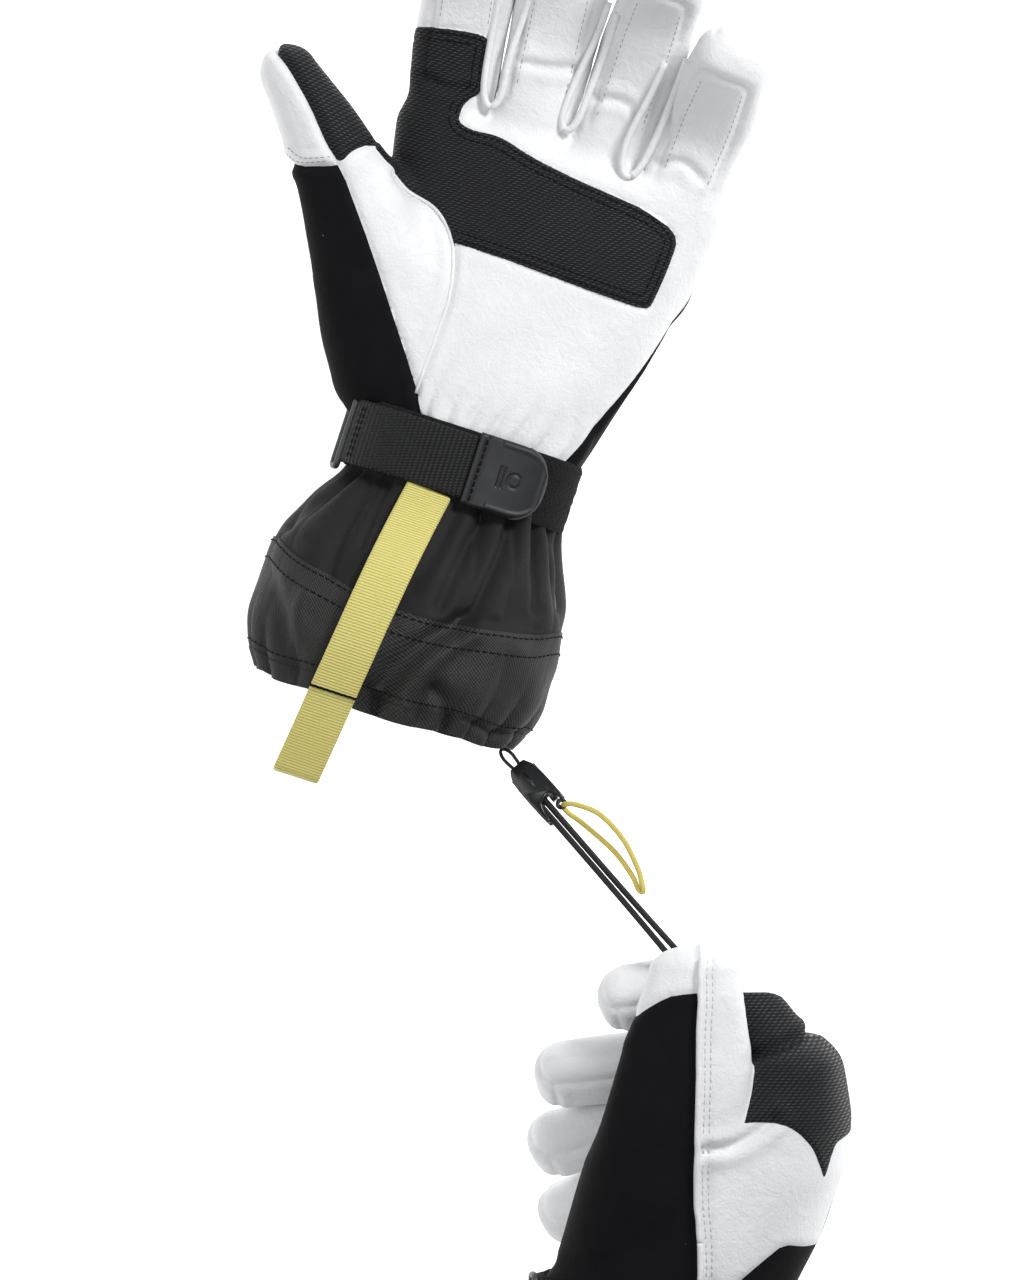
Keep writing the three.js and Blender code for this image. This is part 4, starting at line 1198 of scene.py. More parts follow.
def make_left_hand():
    hand = HANDS["left"]
    skin = Skin(hand.field, (-130, -8, -4), (84, 230, 84), CELL)
    skin.cut(lambda p: p[:, 1] - CUT_Y, None, -1)
    skin.cut(lambda p: -p[:, 2] + 1.2, None, 0)
    skin.cut(lambda p: np.maximum(left_thumb_side(p), thumb_part(p)), 0, 50)
    skin.cut(lambda p: -finger_line(p), 0, 10)
    skin.cut(lambda p: -between("index", "middle")(p), 10, 20)
    skin.cut(lambda p: -between("middle", "ring")(p), 20, 30)
    skin.cut(lambda p: -between("ring", "little")(p), 30, 40)
    # The grip patch reaches lower down on the index finger's side.
    side_wrap = lambda p: np.maximum(LEFT_SEAM_PATCH(p), np.where(p[:, 0] < -20, 20, 31) - p[:, 2])
    skin.cut(side_wrap, 0, 1)
    skin.cut(side_wrap, 10, 11)
    skin.cut(left_side_seam, 0, 2)
    skin.cut(LEFT_SEAM_BLACK, 0, 3)
    skin.cut(LEFT_SEAM_CAP, 50, 52)
    skin.cut(lambda p: np.maximum(LEFT_SEAM_TIP(p), 38 - p[:, 2]), 50, 51)
    skin.cut(lambda p: np.maximum(LEFT_SEAM_TIP(p), p[:, 2] - 38), 50, 52)
    skin.cut(LEFT_SEAM_BLACK, 50, 53)
    skin.cut(lambda p: p[:, 2] - 31, 50, 53)
    points = moved_points(skin, left_relief, hand)
    points[:, 2] = np.maximum(points[:, 2], LOWEST)
    for name, labels, material, digit, nodes in LEFT_PANELS:
        nodes = [f"left_{node}" for node in nodes]
        panel(f"left_{name}", "left", skin, points, labels, material, digit, nodes)
    tree = BVHTree.FromPolygons(points.tolist(), skin.faces.tolist())
    left_trim(tree)


def trimmed(name, side, heap, material, slot, digit=None):
    piece = heap.make(name, side, material, None if digit else f"{side}_hand", slot=slot)
    if digit:
        bend_with(piece, side, digit)


def crotch_rolls(tree):
    """The rolled leather edges between neighbouring fingers: one arm for each finger."""
    names = ("index", "middle", "ring", "little")
    for number, outline in enumerate(LEFT_CROTCHES):
        line, _ = project(tree, catmull(outline, 46), 0.35)
        floor = line[:, 2].max() - 16 + 8 * np.abs(np.linspace(-1, 1, len(line)))
        line[:, 2] = np.maximum(line[:, 2], floor)
        line = smooth_line(line, 8)
        bottom = len(line) // 2
        for arm, owner, part in (
            ("a", names[number], line[:bottom + 1]), ("b", names[number + 1], line[bottom:])
        ):
            roll = tube(f"left_crotch_roll_{number}{arm}", "left", part, 1.45, "leather", None, slot="leather")
            bend_with(roll, "left", owner)


def patch_stitches(tree):
    """Two rows of black stitching inside the grip patch's edge, parted where the index finger bends."""
    palm, index = Heap(), Heap()
    outline = rounded(LEFT_PATCH)
    closed = resample(np.vstack([outline, outline[:1]]), 420)
    away = outline_distance(outline)
    flat = lambda xy: np.c_[xy, np.zeros(len(xy))]
    for inset in (1.7, 4.4):
        move = np.array([away(flat(closed + d)) for d in ((0.2, 0), (-0.2, 0), (0, 0.2), (0, -0.2))])
        way = unit(np.stack([move[0] - move[1], move[2] - move[3]], -1))
        inner = closed - way * inset
        keep = (inner[:, 0] > -66) & (np.abs(away(flat(inner)) + inset) < 0.5)
        keep &= left_thumb_side(flat(inner)) > 1.5
        for run in runs(keep):
            if len(run) <= 6:
                continue
            line, normals = project(tree, inner[run], 0.05)
            on_index = (line[:, 1] > 128) & (line[:, 0] < -20)
            for heap, flags in ((palm, ~on_index), (index, on_index)):
                for part in runs(flags):
                    if len(part) > 4:
                        stitch_heap(heap, line[part], normals[part], 1.9, 0.7, 0.26)
    trimmed("left_patch_stitches", "left", palm, "thread_black", "thread")
    trimmed("left_index_stitches", "left", index, "thread_black", "thread", "index")


def seam_row(tree, limb, sign, start):
    """A seam's points and normals along one side of a finger's palm face."""
    s = np.linspace(start, limb.length[-1] - 4, 60)
    along = lambda table: np.stack([np.interp(s, limb.length, table[:, k]) for k in range(3)], -1)
    out = along(limb.v)
    half = np.interp(s, limb.length, limb.half[:, 0])
    above = along(limb.line) + along(limb.u) * (sign * 0.52 * half)[:, None] + out * 20
    hits = [tree.ray_cast(Vector(point), Vector(way))[:2] for point, way in zip(above, -out)]
    hits = [(point, normal) for point, normal in hits if point is not None]
    if len(hits) <= 10:
        return None
    points, normals = (np.array(part) for part in zip(*hits))
    return smooth_line(points), unit(smooth_line(normals))


def left_trim(tree):
    """Stitching, crotch rolls and the raised gusset seam of the left glove."""
    crotch_rolls(tree)
    line, _ = project(tree, catmull(LEFT_GUSSET, 60), 0.1)
    heap = Heap()
    heap.add(*sweep(line, (0, 0, 1), round_section(0.75, 8, 0.8))[:2])
    trimmed("left_gusset_welt", "left", heap, "leather", "leather", "thumb")
    patch_stitches(tree)
    # Grey stitching beside the thumb cap's lower edge, and along the finger seams.
    heap = Heap()
    for offset in (1.5, 3.4):
        edge = np.array([(-103, 92.6), (-96, 90.2), (-85, 94)]) + [0.3 * offset, 0.95 * offset]
        line, normals = project(tree, catmull(edge, 24), 0.05)
        stitch_heap(heap, line, normals, 1.6, 0.7, 0.2)
    trimmed("left_cap_stitches", "left", heap, "thread_grey", "thread", "thumb")
    for digit, limb in HANDS["left"].fingers.items():
        heap = Heap()
        for sign in (-1, 1):
            row = seam_row(tree, limb, sign, 46 if digit == "index" else 20)
            if row:
                stitch_heap(heap, *row, 1.7, 0.9, 0.16)
        trimmed(f"left_{digit}_seam_stitches", "left", heap, "thread_grey", "thread", digit)


def runs(flags):
    """Stretches of consecutive true places."""
    out, now = [], []
    for k, flag in enumerate(flags):
        if flag:
            now.append(k)
        elif now:
            out.append(np.array(now))
            now = []
    if now:
        out.append(np.array(now))
    return out


def finger_part(p, hand, limb):
    """Negative where the right hand's skin is nearer to this finger than to any other part."""
    mine = limb.field(p)
    others = np.min([other.field(p) for other in hand.fingers.values() if other is not limb], axis=0)
    rest = np.minimum(hand.thumb.field(p), hand.body.field(p))
    past_knuckle = limb.coordinates(p)[0] - 12
    return np.maximum(np.maximum(mine - others, -past_knuckle), mine - rest)


def make_right_hand():
    hand = HANDS["right"]
    skin = Skin(hand.field, (-64, -8, -4), (74, 156, 114), CELL)
    skin.cut(lambda p: p[:, 1] - CUT_Y, None, -1)
    for number, limb in enumerate(hand.fingers.values()):
        skin.cut(lambda p: finger_part(p, hand, limb), 0, 10 * (number + 1))
    thumb = lambda p: np.maximum(
        hand.thumb.field(p) - np.minimum(hand.body.field(p), hand.fist(p)) + 1.6 * step_up(p[:, 0], 14, 20),
        (30 - p[:, 1]) * 0.8)
    skin.cut(thumb, 0, 50)
    for label in (0, 10, 20):
        skin.cut(lambda p: np.maximum(RIGHT_SEAM_PATCH(p), 46 - p[:, 2]), label, 1)
    skin.cut(right_back_side, 0, 2)
    # The black panel over the back of the thumb runs on across the heel of the hand to the strap.
    edge = catmull(RIGHT_BLACK_TOP, 40)
    below = lambda p: p[:, 1] - np.interp(p[:, 0], edge[:, 0], edge[:, 1])
    welt_side = lambda p: p[:, 0] - np.interp(p[:, 1], [-30, 12.3, 55.8, 92, 150], [8.3, 8.3, 7, 7.7, 8.3])
    black = lambda p: np.maximum(below(p), welt_side(p))
    skin.cut(lambda p: np.maximum(black(p), 60 - p[:, 2]), 50, 51)
    skin.cut(lambda p: np.maximum(np.maximum(welt_side(p), 56 - p[:, 2]), p[:, 1] - 60), 0, 3)
    skin.cut(lambda p: np.maximum(-below(p), welt_side(p)), 50, 52)
    points = moved_points(skin, right_relief, hand)
    points[:, 2] = np.maximum(points[:, 2], LOWEST)
    for name, labels, material, digit, nodes in RIGHT_PANELS:
        nodes = [f"right_{node}" for node in nodes]
        panel(f"right_{name}", "right", skin, points, labels, material, digit, nodes)
    tree = BVHTree.FromPolygons(points.tolist(), skin.faces.tolist())
    right_trim(tree)


def right_trim(tree):
    """The welt along the back of the right thumb and its stitching, parted where the thumb bends."""
    welt = catmull([(8.3, 138.5), (8, 128), (7.7, 92), (7, 55.8), (8, 30), (8.3, 12.5)], 90)
    line, _ = project(tree, welt, 0.5)
    split = [(line[:, 1] > 30.5, "thumb"), (line[:, 1] <= 31.8, None)]
    for flags, digit in split:
        part = np.flatnonzero(flags)
        heap = Heap()
        heap.add(*sweep(line[part], (0, 0, 1), round_section(1.15, 8, 1.3))[:2])
        trimmed(f"right_welt_{digit or 'heel'}", "right", heap, "leather", "leather", digit)
        heap = Heap()
        for beside in (4.6, 2.4):
            row, ways = project(tree, line[part, :2] + [beside, 0], 0.08)
            stitch_heap(heap, row, ways, 1.9, 0.9, 0.22)
        trimmed(f"right_welt_stitches_{digit or 'heel'}", "right", heap, "thread_white", "thread", digit)


# ---- cuffs ---------------------------------------------------------------------------------------------


# Folds of a cuff seen from above: a line in plan, how far it moves the cloth out, and its half width.
CUFF_FOLDS = [
    ([(18.9, -56.6), (7, -69), (-1, -84), (-4.5, -97)], -3.6, 4.2),
    ([(24, -60), (13, -73), (5, -91)], 2.4, 3.6),
    ([(24.5, -13), (24.4, -31.9), (21.8, -54)], -2.6, 2.2), ([(29, -13), (31, -30), (30, -50)], 1.8, 3.0),
    ([(33, -12), (38.4, -27.3), (44.4, -44)], -2.4, 2.2), ([(39.1, -12), (47.6, -24.4), (55, -42)], -2.2, 2.0),
    ([(15.9, -13), (11, -34), (9, -54)], -2.4, 2.6), ([(4, -13), (2, -30), (-3, -50)], -1.8, 2.4),
    ([(-24.6, -13), (-26, -32), (-27, -42)], -2.6, 2.2), ([(-32, -14), (-36, -38), (-35, -56)], -2.4, 2.8),
    ([(-38, -14), (-48, -30), (-58, -44)], -2.2, 2.4), ([(-58, -64), (-48, -77), (-37, -94)], -3.2, 4.6),
    ([(-40, -66), (-40, -84), (-34, -98)], 2.2, 4.0), ([(17, -84), (24, -90), (26, -99)], -3.8, 3.2),
    ([(-8, -90), (-2, -100)], -3.6, 2.6), ([(31, -92), (42, -94), (52, -93)], -2.2, 2.0),
    ([(8, -94), (13, -101)], 2.2, 3.0), ([(37, -60), (33, -75), (30, -88)], 1.8, 6.0),
]


def cuff_seam(x):
    """Where the cuff's upper and lower panels meet, as y for a place across the top."""
    return -59.5 + 10.5 * (np.abs(x) / 60) ** 2


CUFF_COLUMNS = 300  # mesh columns round the cuff
CUFF_LENGTH = 90.0  # from the wrist band's lower edge to the hem


def make_cuff(side):
    """The gathered gauntlet: upper and lower panels and a gathered hem, each with thickness, and a
    single-walled lining.
    """
    body = Body(LEFT_CUFF if side == "left" else RIGHT_CUFF)
    seed = 5 if side == "left" else 12
    rng = np.random.default_rng(seed)
    phases = rng.uniform(0, 6.28, 12)
    columns = CUFF_COLUMNS
    angle = np.linspace(0, 2 * math.pi, columns, endpoint=False)
    across = body.surface(np.full(columns, -50.0), angle, 0)[:, 0]
    folds = [(line_distance(catmull(line, 14)), depth, wide) for line, depth, wide in CUFF_FOLDS]

    def surface(y, out):
        """One ring of points at mean height y, folded."""
        t = (-9 - y) / CUFF_LENGTH
        lean = 0.10 * math.sin(3 * t + phases[8])
        gather = math.exp(-((t - 0.04) / 0.30) ** 2)
        pinch = math.exp(-((t - 1.0) / 0.20) ** 2)
        puff = np.abs(np.sin(9 * (angle + lean) + phases[0] + 1.1 * np.sin(2 * angle + phases[1])))
        puff2 = np.abs(np.sin(6.5 * angle + phases[2] + 1.6 * np.sin(angle * 3 + phases[3]) + 2.5 * t))
        hem = np.abs(np.sin(11 * angle + phases[4] + 1.3 * np.sin(3 * angle + phases[5])))
        swell = np.sin(2 * angle + 3.4 * t + phases[6]) + 0.8 * np.sin(3 * angle - 5.2 * t + phases[7])
        swell2 = np.sin(5 * angle + 7 * t + phases[9]) * np.sin(4.0 * t * math.pi + 2 * angle + phases[10])
        middle = math.sin(math.pi * min(1, max(0, t)))
        grow = out + gather * (3.4 * puff ** 0.7 - 1.9) + 1.4 * (puff2 ** 0.8 - 0.6) * middle
        grow = grow + pinch * (3.6 * hem ** 0.7 - 2.2) + 0.9 * swell * math.sin(math.pi * min(1, t)) * 0.8
        grow = grow + 0.8 * swell2 * middle
        slump = (2.2 * np.sin(angle * 2 + phases[11]) + 1.4 * np.sin(angle * 7 + phases[9])) * t
        base = body.surface(np.full(columns, y), angle, 0)
        above = step_up(base[:, 2] - body.at(y)[1], -4, 10)
        plan = base * [1 if side == "left" else -1, 1, 1]
        for distance, depth, wide in folds:
            grow = grow + above * depth * np.exp(-(distance(plan) / wide) ** 2)
        return body.surface(np.full(columns, y) + slump * 0.6, angle, grow)

    def panel_points(start, end, rows, out):
        """Rows from start to end, each a number or a function of x."""
        low, high = (at(across) if callable(at) else np.full(columns, at) for at in (start, end))
        return np.array([at_height(low + (high - low) * k / (rows - 1), out) for k in range(rows)])

    heights = np.linspace(-7, -101, 150)
    sheets = {}

    def at_height(wanted, out):
        if out not in sheets:
            sheets[out] = np.array([surface(h, out) for h in heights])
        sheet = sheets[out]
        place = (heights[0] - wanted) / (heights[0] - heights[-1]) * (len(heights) - 1)
        place = np.clip(place, 0, len(heights) - 1.001)
        low = place.astype(int)
        part = (place - low)[:, None]
        column = np.arange(columns)
        return sheet[low, column] * (1 - part) + sheet[low + 1, column] * part

    hand = f"{side}_hand"

    def shell(name, start, end, rows, out, thick, material, slot, node):
        """A closed sheet: outside, rolled end, inside."""
        outside = panel_points(start, end, rows, out)
        inside = panel_points(start, end, rows, out - thick)
        rings = [*outside, *inside[::-1], outside[0]]
        grid = np.array(rings)
        points = grid.reshape(-1, 3).copy()
        points[:, 2] = np.maximum(points[:, 2], LOWEST)
        faces = grid_faces(len(grid), columns, flip=False)
        around = angle * 55
        along = np.concatenate([[0], np.cumsum(np.linalg.norm(np.diff(grid[:, 65], axis=0), axis=1))])
        cloth = np.stack([np.tile(around, len(grid)), np.repeat(along, columns), np.zeros(len(points))], -1)
        sleeve = make_mesh(name, side, points, faces, material, hand, node=node, slot=slot,
                           attributes={"cloth": cloth})
        return sleeve

    shell(f"{side}_cuff_upper_cloth", -8.5, lambda x: cuff_seam(x) - 3, 60, 0.0, 1.6, "cuff", "cuff",
          [f"{side}_cuff_upper"])
    shell(f"{side}_cuff_lower_cloth", cuff_seam, -95.0, 50, 0.75, 1.5, "cordura", "cordura",
          [f"{side}_cuff_lower"])
    shell(f"{side}_cuff_hem_roll", -93.5, -100.0, 12, 1.1, 3.4, "cordura", "cordura", [f"{side}_cuff_hem"])
    # Double stitching along the seam, single stitching along the hem's channel.
    heap = Heap()
    seam = cuff_seam(across)
    for wanted, out in ((seam - 1.6, 0.8), (seam - 8.6, 0.8), (np.full(columns, -90.5), 0.8)):
        ring = at_height(wanted, out)
        ring = np.vstack([ring, ring[:1]])
        ring[:, 2] = np.maximum(ring[:, 2], 1.6)
        fine = resample(ring, 900)
        centre = np.array([np.mean(ring[:, 0]), 0, np.mean(ring[:, 2])])
        normals = unit((fine - centre) * [1, 0, 1])
        stitch_heap(heap, fine, normals, 2.0, 0.9, 0.24, sink=-0.05)
    heap.make(f"{side}_cuff_stitches", side, "thread_black", hand, slot="thread")
    # The lining: down the inside of the cuff and closed at the fingers.
    inner = Body(LEFT_HAND if side == "left" else RIGHT_HAND)
    rings = []
    for y in np.linspace(-92, -12, 24):
        rings.append(body.surface(np.full(72, y), np.linspace(0, 2 * math.pi, 72, endpoint=False), -3.4))
    deep = 100 if side == "left" else 88
    for y in np.linspace(-8, deep, 24):
        shrink = -4.2 - 10 * step_up(y, deep - 22, deep)
        x0, z0, a, b = inner.at(y)
        shrink = max(shrink, 2 - min(a, b))
        rings.append(inner.surface(np.full(72, y), np.linspace(0, 2 * math.pi, 72, endpoint=False), shrink))
    grid = np.array(rings)
    points = grid.reshape(-1, 3).copy()
    points[:, 2] = np.maximum(points[:, 2], 2.2)
    faces = grid_faces(len(grid), 72, flip=True)
    faces.append([len(points) - 72 + k for k in range(72)])
    make_mesh(f"{side}_lining", side, points, faces, "lining", hand, node=[f"{side}_liner"], slot="lining")


# ---- wrist closure and puller --------------------------------------------------------------------------


def oval(side):
    return (0, 28.2, 42.5, 25.4) if side == "left" else (-3.5, 52, 46, 38)


def on_oval(side, degrees, out):
    cx, cz, a, b = oval(side)
    angle = np.radians(np.asarray(degrees, float))
    curve = lambda t: np.sign(t) * np.abs(t) ** (2 / POWER)
    x = cx + (a + out) * curve(np.cos(angle))
    z = cz + (b + out) * curve(np.sin(angle))
    return np.stack([x, 0 * angle, z], -1)


def make_wrist(side):
    hand, strap_body = f"{side}_hand", f"{side}_strap"
    cx, cz, a, b = oval(side)
    # The loop-faced band, all round the wrist.
    degrees = np.linspace(0, 360, 97)[:-1]
    rows = np.linspace(-13, 14, 20)
    centre = on_oval(side, degrees, 1.6)
    way = unit((centre - [cx, 0, cz]) * [1, 0, 1])
    rings = []
    rng = np.random.default_rng(3)
    for y in rows:
        edge = 1 - 0.8 * step_up(abs(y - 0.5), 12.4, 13.5)
        rings.append(centre + [0, y, 0] + way * (0.9 * edge + rng.normal(0, 0.16, len(centre)))[:, None])
    for y in rows[::-1]:
        rings.append(centre + [0, y, 0] - way * 0.9)
    rings.append(rings[0])
    points = np.array(rings).reshape(-1, 3)
    points[:, 2] = np.maximum(points[:, 2], LOWEST)
    faces = grid_faces(len(rings), len(degrees), flip=True)
    make_mesh(f"{side}_loop_band", side, points, faces, "loop", hand, node=[f"{side}_wrist_band"], slot="loop")
    # The strap comes up through the ring and lies over the wrist, its doubled start sewn with stitches.
    lift = 5.2
    top = on_oval(side, np.linspace(168, 85, 60), lift)
    top = resample(smooth_line(top, 2), 90)
    up = unit((top - [cx, 0, cz]) * [1, 0, 1])
    points, faces, ribs = sweep(top, up, tape_section(STRAP_WIDTH, 1.5, 30))
    make_mesh(f"{side}_strap_webbing", side, points, faces, "webbing", strap_body, node=[f"{side}_strap"],
              slot="webbing", attributes={"tape": ribs})
    under = resample(on_oval(side, np.linspace(168, 140, 20), lift - 1.7), 24)
    tape(f"{side}_strap_return", side, under, unit((under - [cx, 0, cz]) * [1, 0, 1]), STRAP_WIDTH, 1.3,
         "webbing", strap_body, slot="webbing")
    heap = Heap()
    for degrees_at in (150, 146.5):
        spot = on_oval(side, np.array([degrees_at]), lift + 0.8)[0]
        way = unit((spot - [cx, 0, cz]) * [1, 0, 1])
        row = np.array([spot + [0, y, 0] for y in np.linspace(-10.5, 10.5, 30)])
        stitch_heap(heap, row, np.tile(way, (30, 1)), 1.7, 0.9, 0.3, sink=0)
    heap.make(f"{side}_strap_stitches", side, "thread_black", strap_body, slot="thread")
    # The pull tab: a moulded D, stitched along its straight edge.
    make_tab(side, strap_body, lift)
    # Hook tape under the tab.
    under = resample(on_oval(side, np.linspace(88, 62, 20), 3.9), 24)
    tape(f"{side}_hook_tape", side, under, unit((under - [cx, 0, cz]) * [1, 0, 1]), STRAP_WIDTH - 3, 1.3,
         "rubber", strap_body, slot="hook", node=[f"{side}_hook_patch"])
    make_ring(side, hand, lift)


def tab_mark(across, along):
    """A generic mark pressed into the tab: two bars beside a small ring."""
    width = step_up(4.4 - np.abs(across), 0, 0.4)
    bars = sum(width * step_up(0.45 - abs(along - x), -0.2, 0.2) for x in (11.2, 12.9))
    ring = step_up(0.5 - np.abs(np.hypot(across, along - 17.2) - 2.6), -0.2, 0.2)
    return np.minimum(bars + ring, 1)


def make_tab(side, body, lift):
    """The rubber pull tab on the end of the strap: D-shaped, with a raised rim in a paler rubber that paints
    its highlight, and a plain pressed mark.
    """
    cx, cz = oval(side)[:2]
    degrees = np.linspace(88, 54, 36)
    line = resample(on_oval(side, degrees, lift + 1.5), 84)
    up = unit((line - [cx, 0, cz]) * [1, 0, 1])
    length = np.linspace(0, 1, len(line))
    half = (STRAP_WIDTH + 3.6) / 2
    rounded = np.sqrt(np.maximum(1e-3, 1 - ((length - 0.55) / 0.452) ** 2.6))
    wide = half * np.where(length < 0.55, 1.0, rounded)
    columns = np.linspace(-1, 1, 71)
    rings = []
    for sign in (1, -1):
        sheet = []
        for k in range(len(line)):
            across = columns * wide[k]
            edge = np.minimum(wide[k] - np.abs(across), (1 - length[k]) * 28)
            rim = step_up(edge, 0.0, 1.2)
            raise_edge = 0.45 * np.exp(-((edge - 1.8) / 0.9) ** 2) * (length[k] > 0.3)
            stitch_line = -0.5 * math.exp(-(((length[k] - 0.09) * 30) / 0.9) ** 2)
            bar = -0.55 * tab_mark(across, length[k] * 30)
            thick = 1.25 * (0.35 + 0.65 * rim) + (raise_edge + stitch_line + bar if sign > 0 else 0)
            sheet.append(line[k] + across[:, None] * [0, 1, 0] + up[k] * (sign * thick)[:, None])
        rings.append(np.array(sheet))
    top, bottom = rings
    rows, cols = top.shape[:2]
    points = np.vstack([top.reshape(-1, 3), bottom.reshape(-1, 3)])
    faces = grid_faces(rows, cols, closed_columns=False)
    faces += [[v + rows * cols for v in f[::-1]] for f in grid_faces(rows, cols, closed_columns=False)]
    border = [c for c in range(cols)] + [r * cols + cols - 1 for r in range(1, rows)]
    border += [(rows - 1) * cols + c for c in range(cols - 2, -1, -1)]
    border += [r * cols for r in range(rows - 2, 0, -1)]
    n = rows * cols
    for p, q in zip(border, border[1:] + border[:1]):
        faces.append([q, p, p + n, q + n])
    # Faces turn outwards.
    first, second, third = points[faces[0][:3]]
    if np.cross(second - first, third - first) @ up[0] < 0:
        faces = [f[::-1] for f in faces]
    make_mesh(f"{side}_pull_tab", side, points, faces, "rubber", body, node=[f"{side}_strap_tab"],
              slot="rubber")
    # A raised rim round the D, in a paler copy of the rubber: a painted highlight.
    k = np.linspace(0.66, 0.995, 30)
    rim = []
    for s in (-1, 1):
        part = []
        for f in (k if s < 0 else k[::-1]):
            spot = np.array([np.interp(f, length, line[:, i]) for i in range(3)])
            w = float(np.interp(f, length, wide))
            part.append(spot + np.array([0, s * w, 0]))
        rim += part
    rim = resample(np.array(rim), 60)
    way = unit((rim - [cx, 0, cz]) * [1, 0, 1])
    grow = np.sin(np.linspace(0.12, math.pi - 0.12, 60)) ** 0.5
    tube(f"{side}_tab_rim", side, rim, 0.95, "rubber_rim_highlight", body, up=way, sides=8, grow=grow, slot="rubber")
    heap = Heap()
    at = np.array([np.interp(0.09, length, line[:, i]) for i in range(3)])
    row = np.array([at + [0, y, 0] for y in np.linspace(-half + 1.5, half - 1.5, 30)]) + up[8] * 0.95
    stitch_heap(heap, row, np.tile(up[8], (30, 1)), 2.0, 0.8, 0.28, sink=0)
    heap.make(f"{side}_tab_stitches", side, "thread_black", body, slot="thread")


def make_ring(side, hand, lift):
    """The rectangular ring with rounded bars, and the short webbing keeper that holds it."""
    cx, cz, a, b = oval(side)
    inner, outer = on_oval(side, 176, lift + 0.6), on_oval(side, 164, lift + 0.6)
    middle = (inner + outer) / 2
    way = unit(outer - inner)
    up = unit(np.cross([0, 1, 0], way))
    if (middle - [cx, 0, cz]) @ up < 0:
        up = -up
    half_w, half_l, corner = 4.9, (STRAP_WIDTH + 5) / 2, 2.2
    loop = []
    for sx, sy, start in ((1, 1, 0), (-1, 1, 90), (-1, -1, 180), (1, -1, 270)):
        for angle in np.radians(np.linspace(start, start + 90, 7)):
            x = sx * (half_w - corner) + corner * math.cos(angle)
            y = sy * (half_l - corner) + corner * math.sin(angle)
            loop.append(middle + way * x + np.array([0, 1, 0]) * y)
    loop = resample(np.vstack([loop, loop[:1]]), 80)[:-1]
    count = 10
    rings = []
    for k in range(len(loop)):
        tangent = unit(loop[(k + 1) % len(loop)] - loop[k - 1])
        side_way = unit(np.cross(tangent, up))
        section = round_section(1.25, count)
        rings.append(loop[k] + section[:, :1] * side_way + section[:, 1:] * up * 1.1)
    points = np.array(rings + rings[:1]).reshape(-1, 3)
    faces = grid_faces(len(rings) + 1, count)
    make_mesh(f"{side}_ring", side, points, faces, "ring", hand, node=[f"{side}_strap_ring"], slot="ring")
    keeper_out = 3.5 if side == "left" else 5.5
    keeper = resample(smooth_line(on_oval(side, np.linspace(208, 172, 26), keeper_out + 0.2), 2), 30)
    tape(f"{side}_keeper", side, keeper, unit((keeper - [cx, 0, cz]) * [1, 0, 1]), STRAP_WIDTH, 1.5, "webbing",
         hand, node=[f"{side}_ring_keeper"], slot="webbing")


PULLER_LINES = {
    "left": [(-9, -13.5, 56.5), (-11.5, -30, 69), (-13.5, -45, 78.4), (-15.5, -62, 83), (-17.5, -80, 83.4),
             (-19.5, -97, 79.5), (-21.5, -115, 74), (-23.5, -131, 67.5)],
    "right": [(8, -13.5, 92.4), (7, -30, 95.8), (6, -45, 98.4), (5, -62, 99.8), (4, -80, 98.8), (3, -97, 95),
              (2, -115, 89), (1, -131, 82.5)],
}


def make_puller(side):
    """Yellow webbing doubled back on itself, with a bar-tack across it."""
    body = f"{side}_puller"
    line = catmull(PULLER_LINES[side], 120)
    up = frames_along(line, (1, 0, 0))[1]
    up = unit(up * np.sign(up[:, 2:3]))
    thick = 1.25
    top = line + up * thick * 0.56
    low = line - up * thick * 0.56
    tangent = unit(line[-1] - line[-2])
    # The two layers part towards the fold, and the lower one reaches a little further.
    part = step_up(np.arange(len(line)), 88, 119)[:, None]
    top = top + up * part * 0.5
    low = low + (tangent * 2.2 - up * 0.5) * part
    turn = []
    for f in (0.12, 0.3, 0.5, 0.7, 0.88):
        turn.append(top[-1] * (1 - f) + low[-1] * f + tangent * 1.1 * math.sin(math.pi * f))
    whole = resample(np.vstack([top, turn, low[::-1]]), 230)
    tangent = unit(np.gradient(whole, axis=0))
    section = tape_section(PULLER_WIDTH, thick, 20)
    points, faces, ribs = sweep(whole, np.cross(tangent, [-1, 0, 0]), section)
    make_mesh(f"{side}_puller_webbing", side, points, faces, "yellow", body, node=[f"{side}_puller"],
              slot="yellow", attributes={"tape": ribs})
    heap = Heap()
    k = int(0.72 * len(line))
    reach = PULLER_WIDTH / 2 + 0.3
    across = np.array([(x, 0, 0) for x in np.linspace(-reach, reach, 40)])
    for wiggle in (0.0, 0.35):
        row = line[k] + up[k] * (thick * 1.12 + 0.45) + across + [0, wiggle, 0]
        stitch_heap(heap, row, np.tile(up[k], (40, 1)), 2.2, 0.12, 0.34, sink=0)
    heap.make(f"{side}_puller_tack", side, "thread_black", body, node=[f"{side}_puller_bartack"], slot="thread")


# ---- drawcord and lock ---------------------------------------------------------------------------------

LOCK_START = np.array((2.3, -49.1, 43.8))
CORD_WAY = unit((0.632, -0.722, 0.282))
BESIDE = unit(np.cross((0, 0, 1), CORD_WAY))
ABOVE = np.cross(CORD_WAY, BESIDE)
WEDGE_Y, EYE_Y, CORD_Y = 2.6, 3.3, -1.9


def lock_point(along, beside, above=0.0):
    return LOCK_START + CORD_WAY * along + BESIDE * beside + ABOVE * above


def lock_points(points):
    p = np.asarray(points, float)
    return LOCK_START + p[:, :1] * CORD_WAY + p[:, 1:2] * BESIDE + p[:, 2:3] * ABOVE


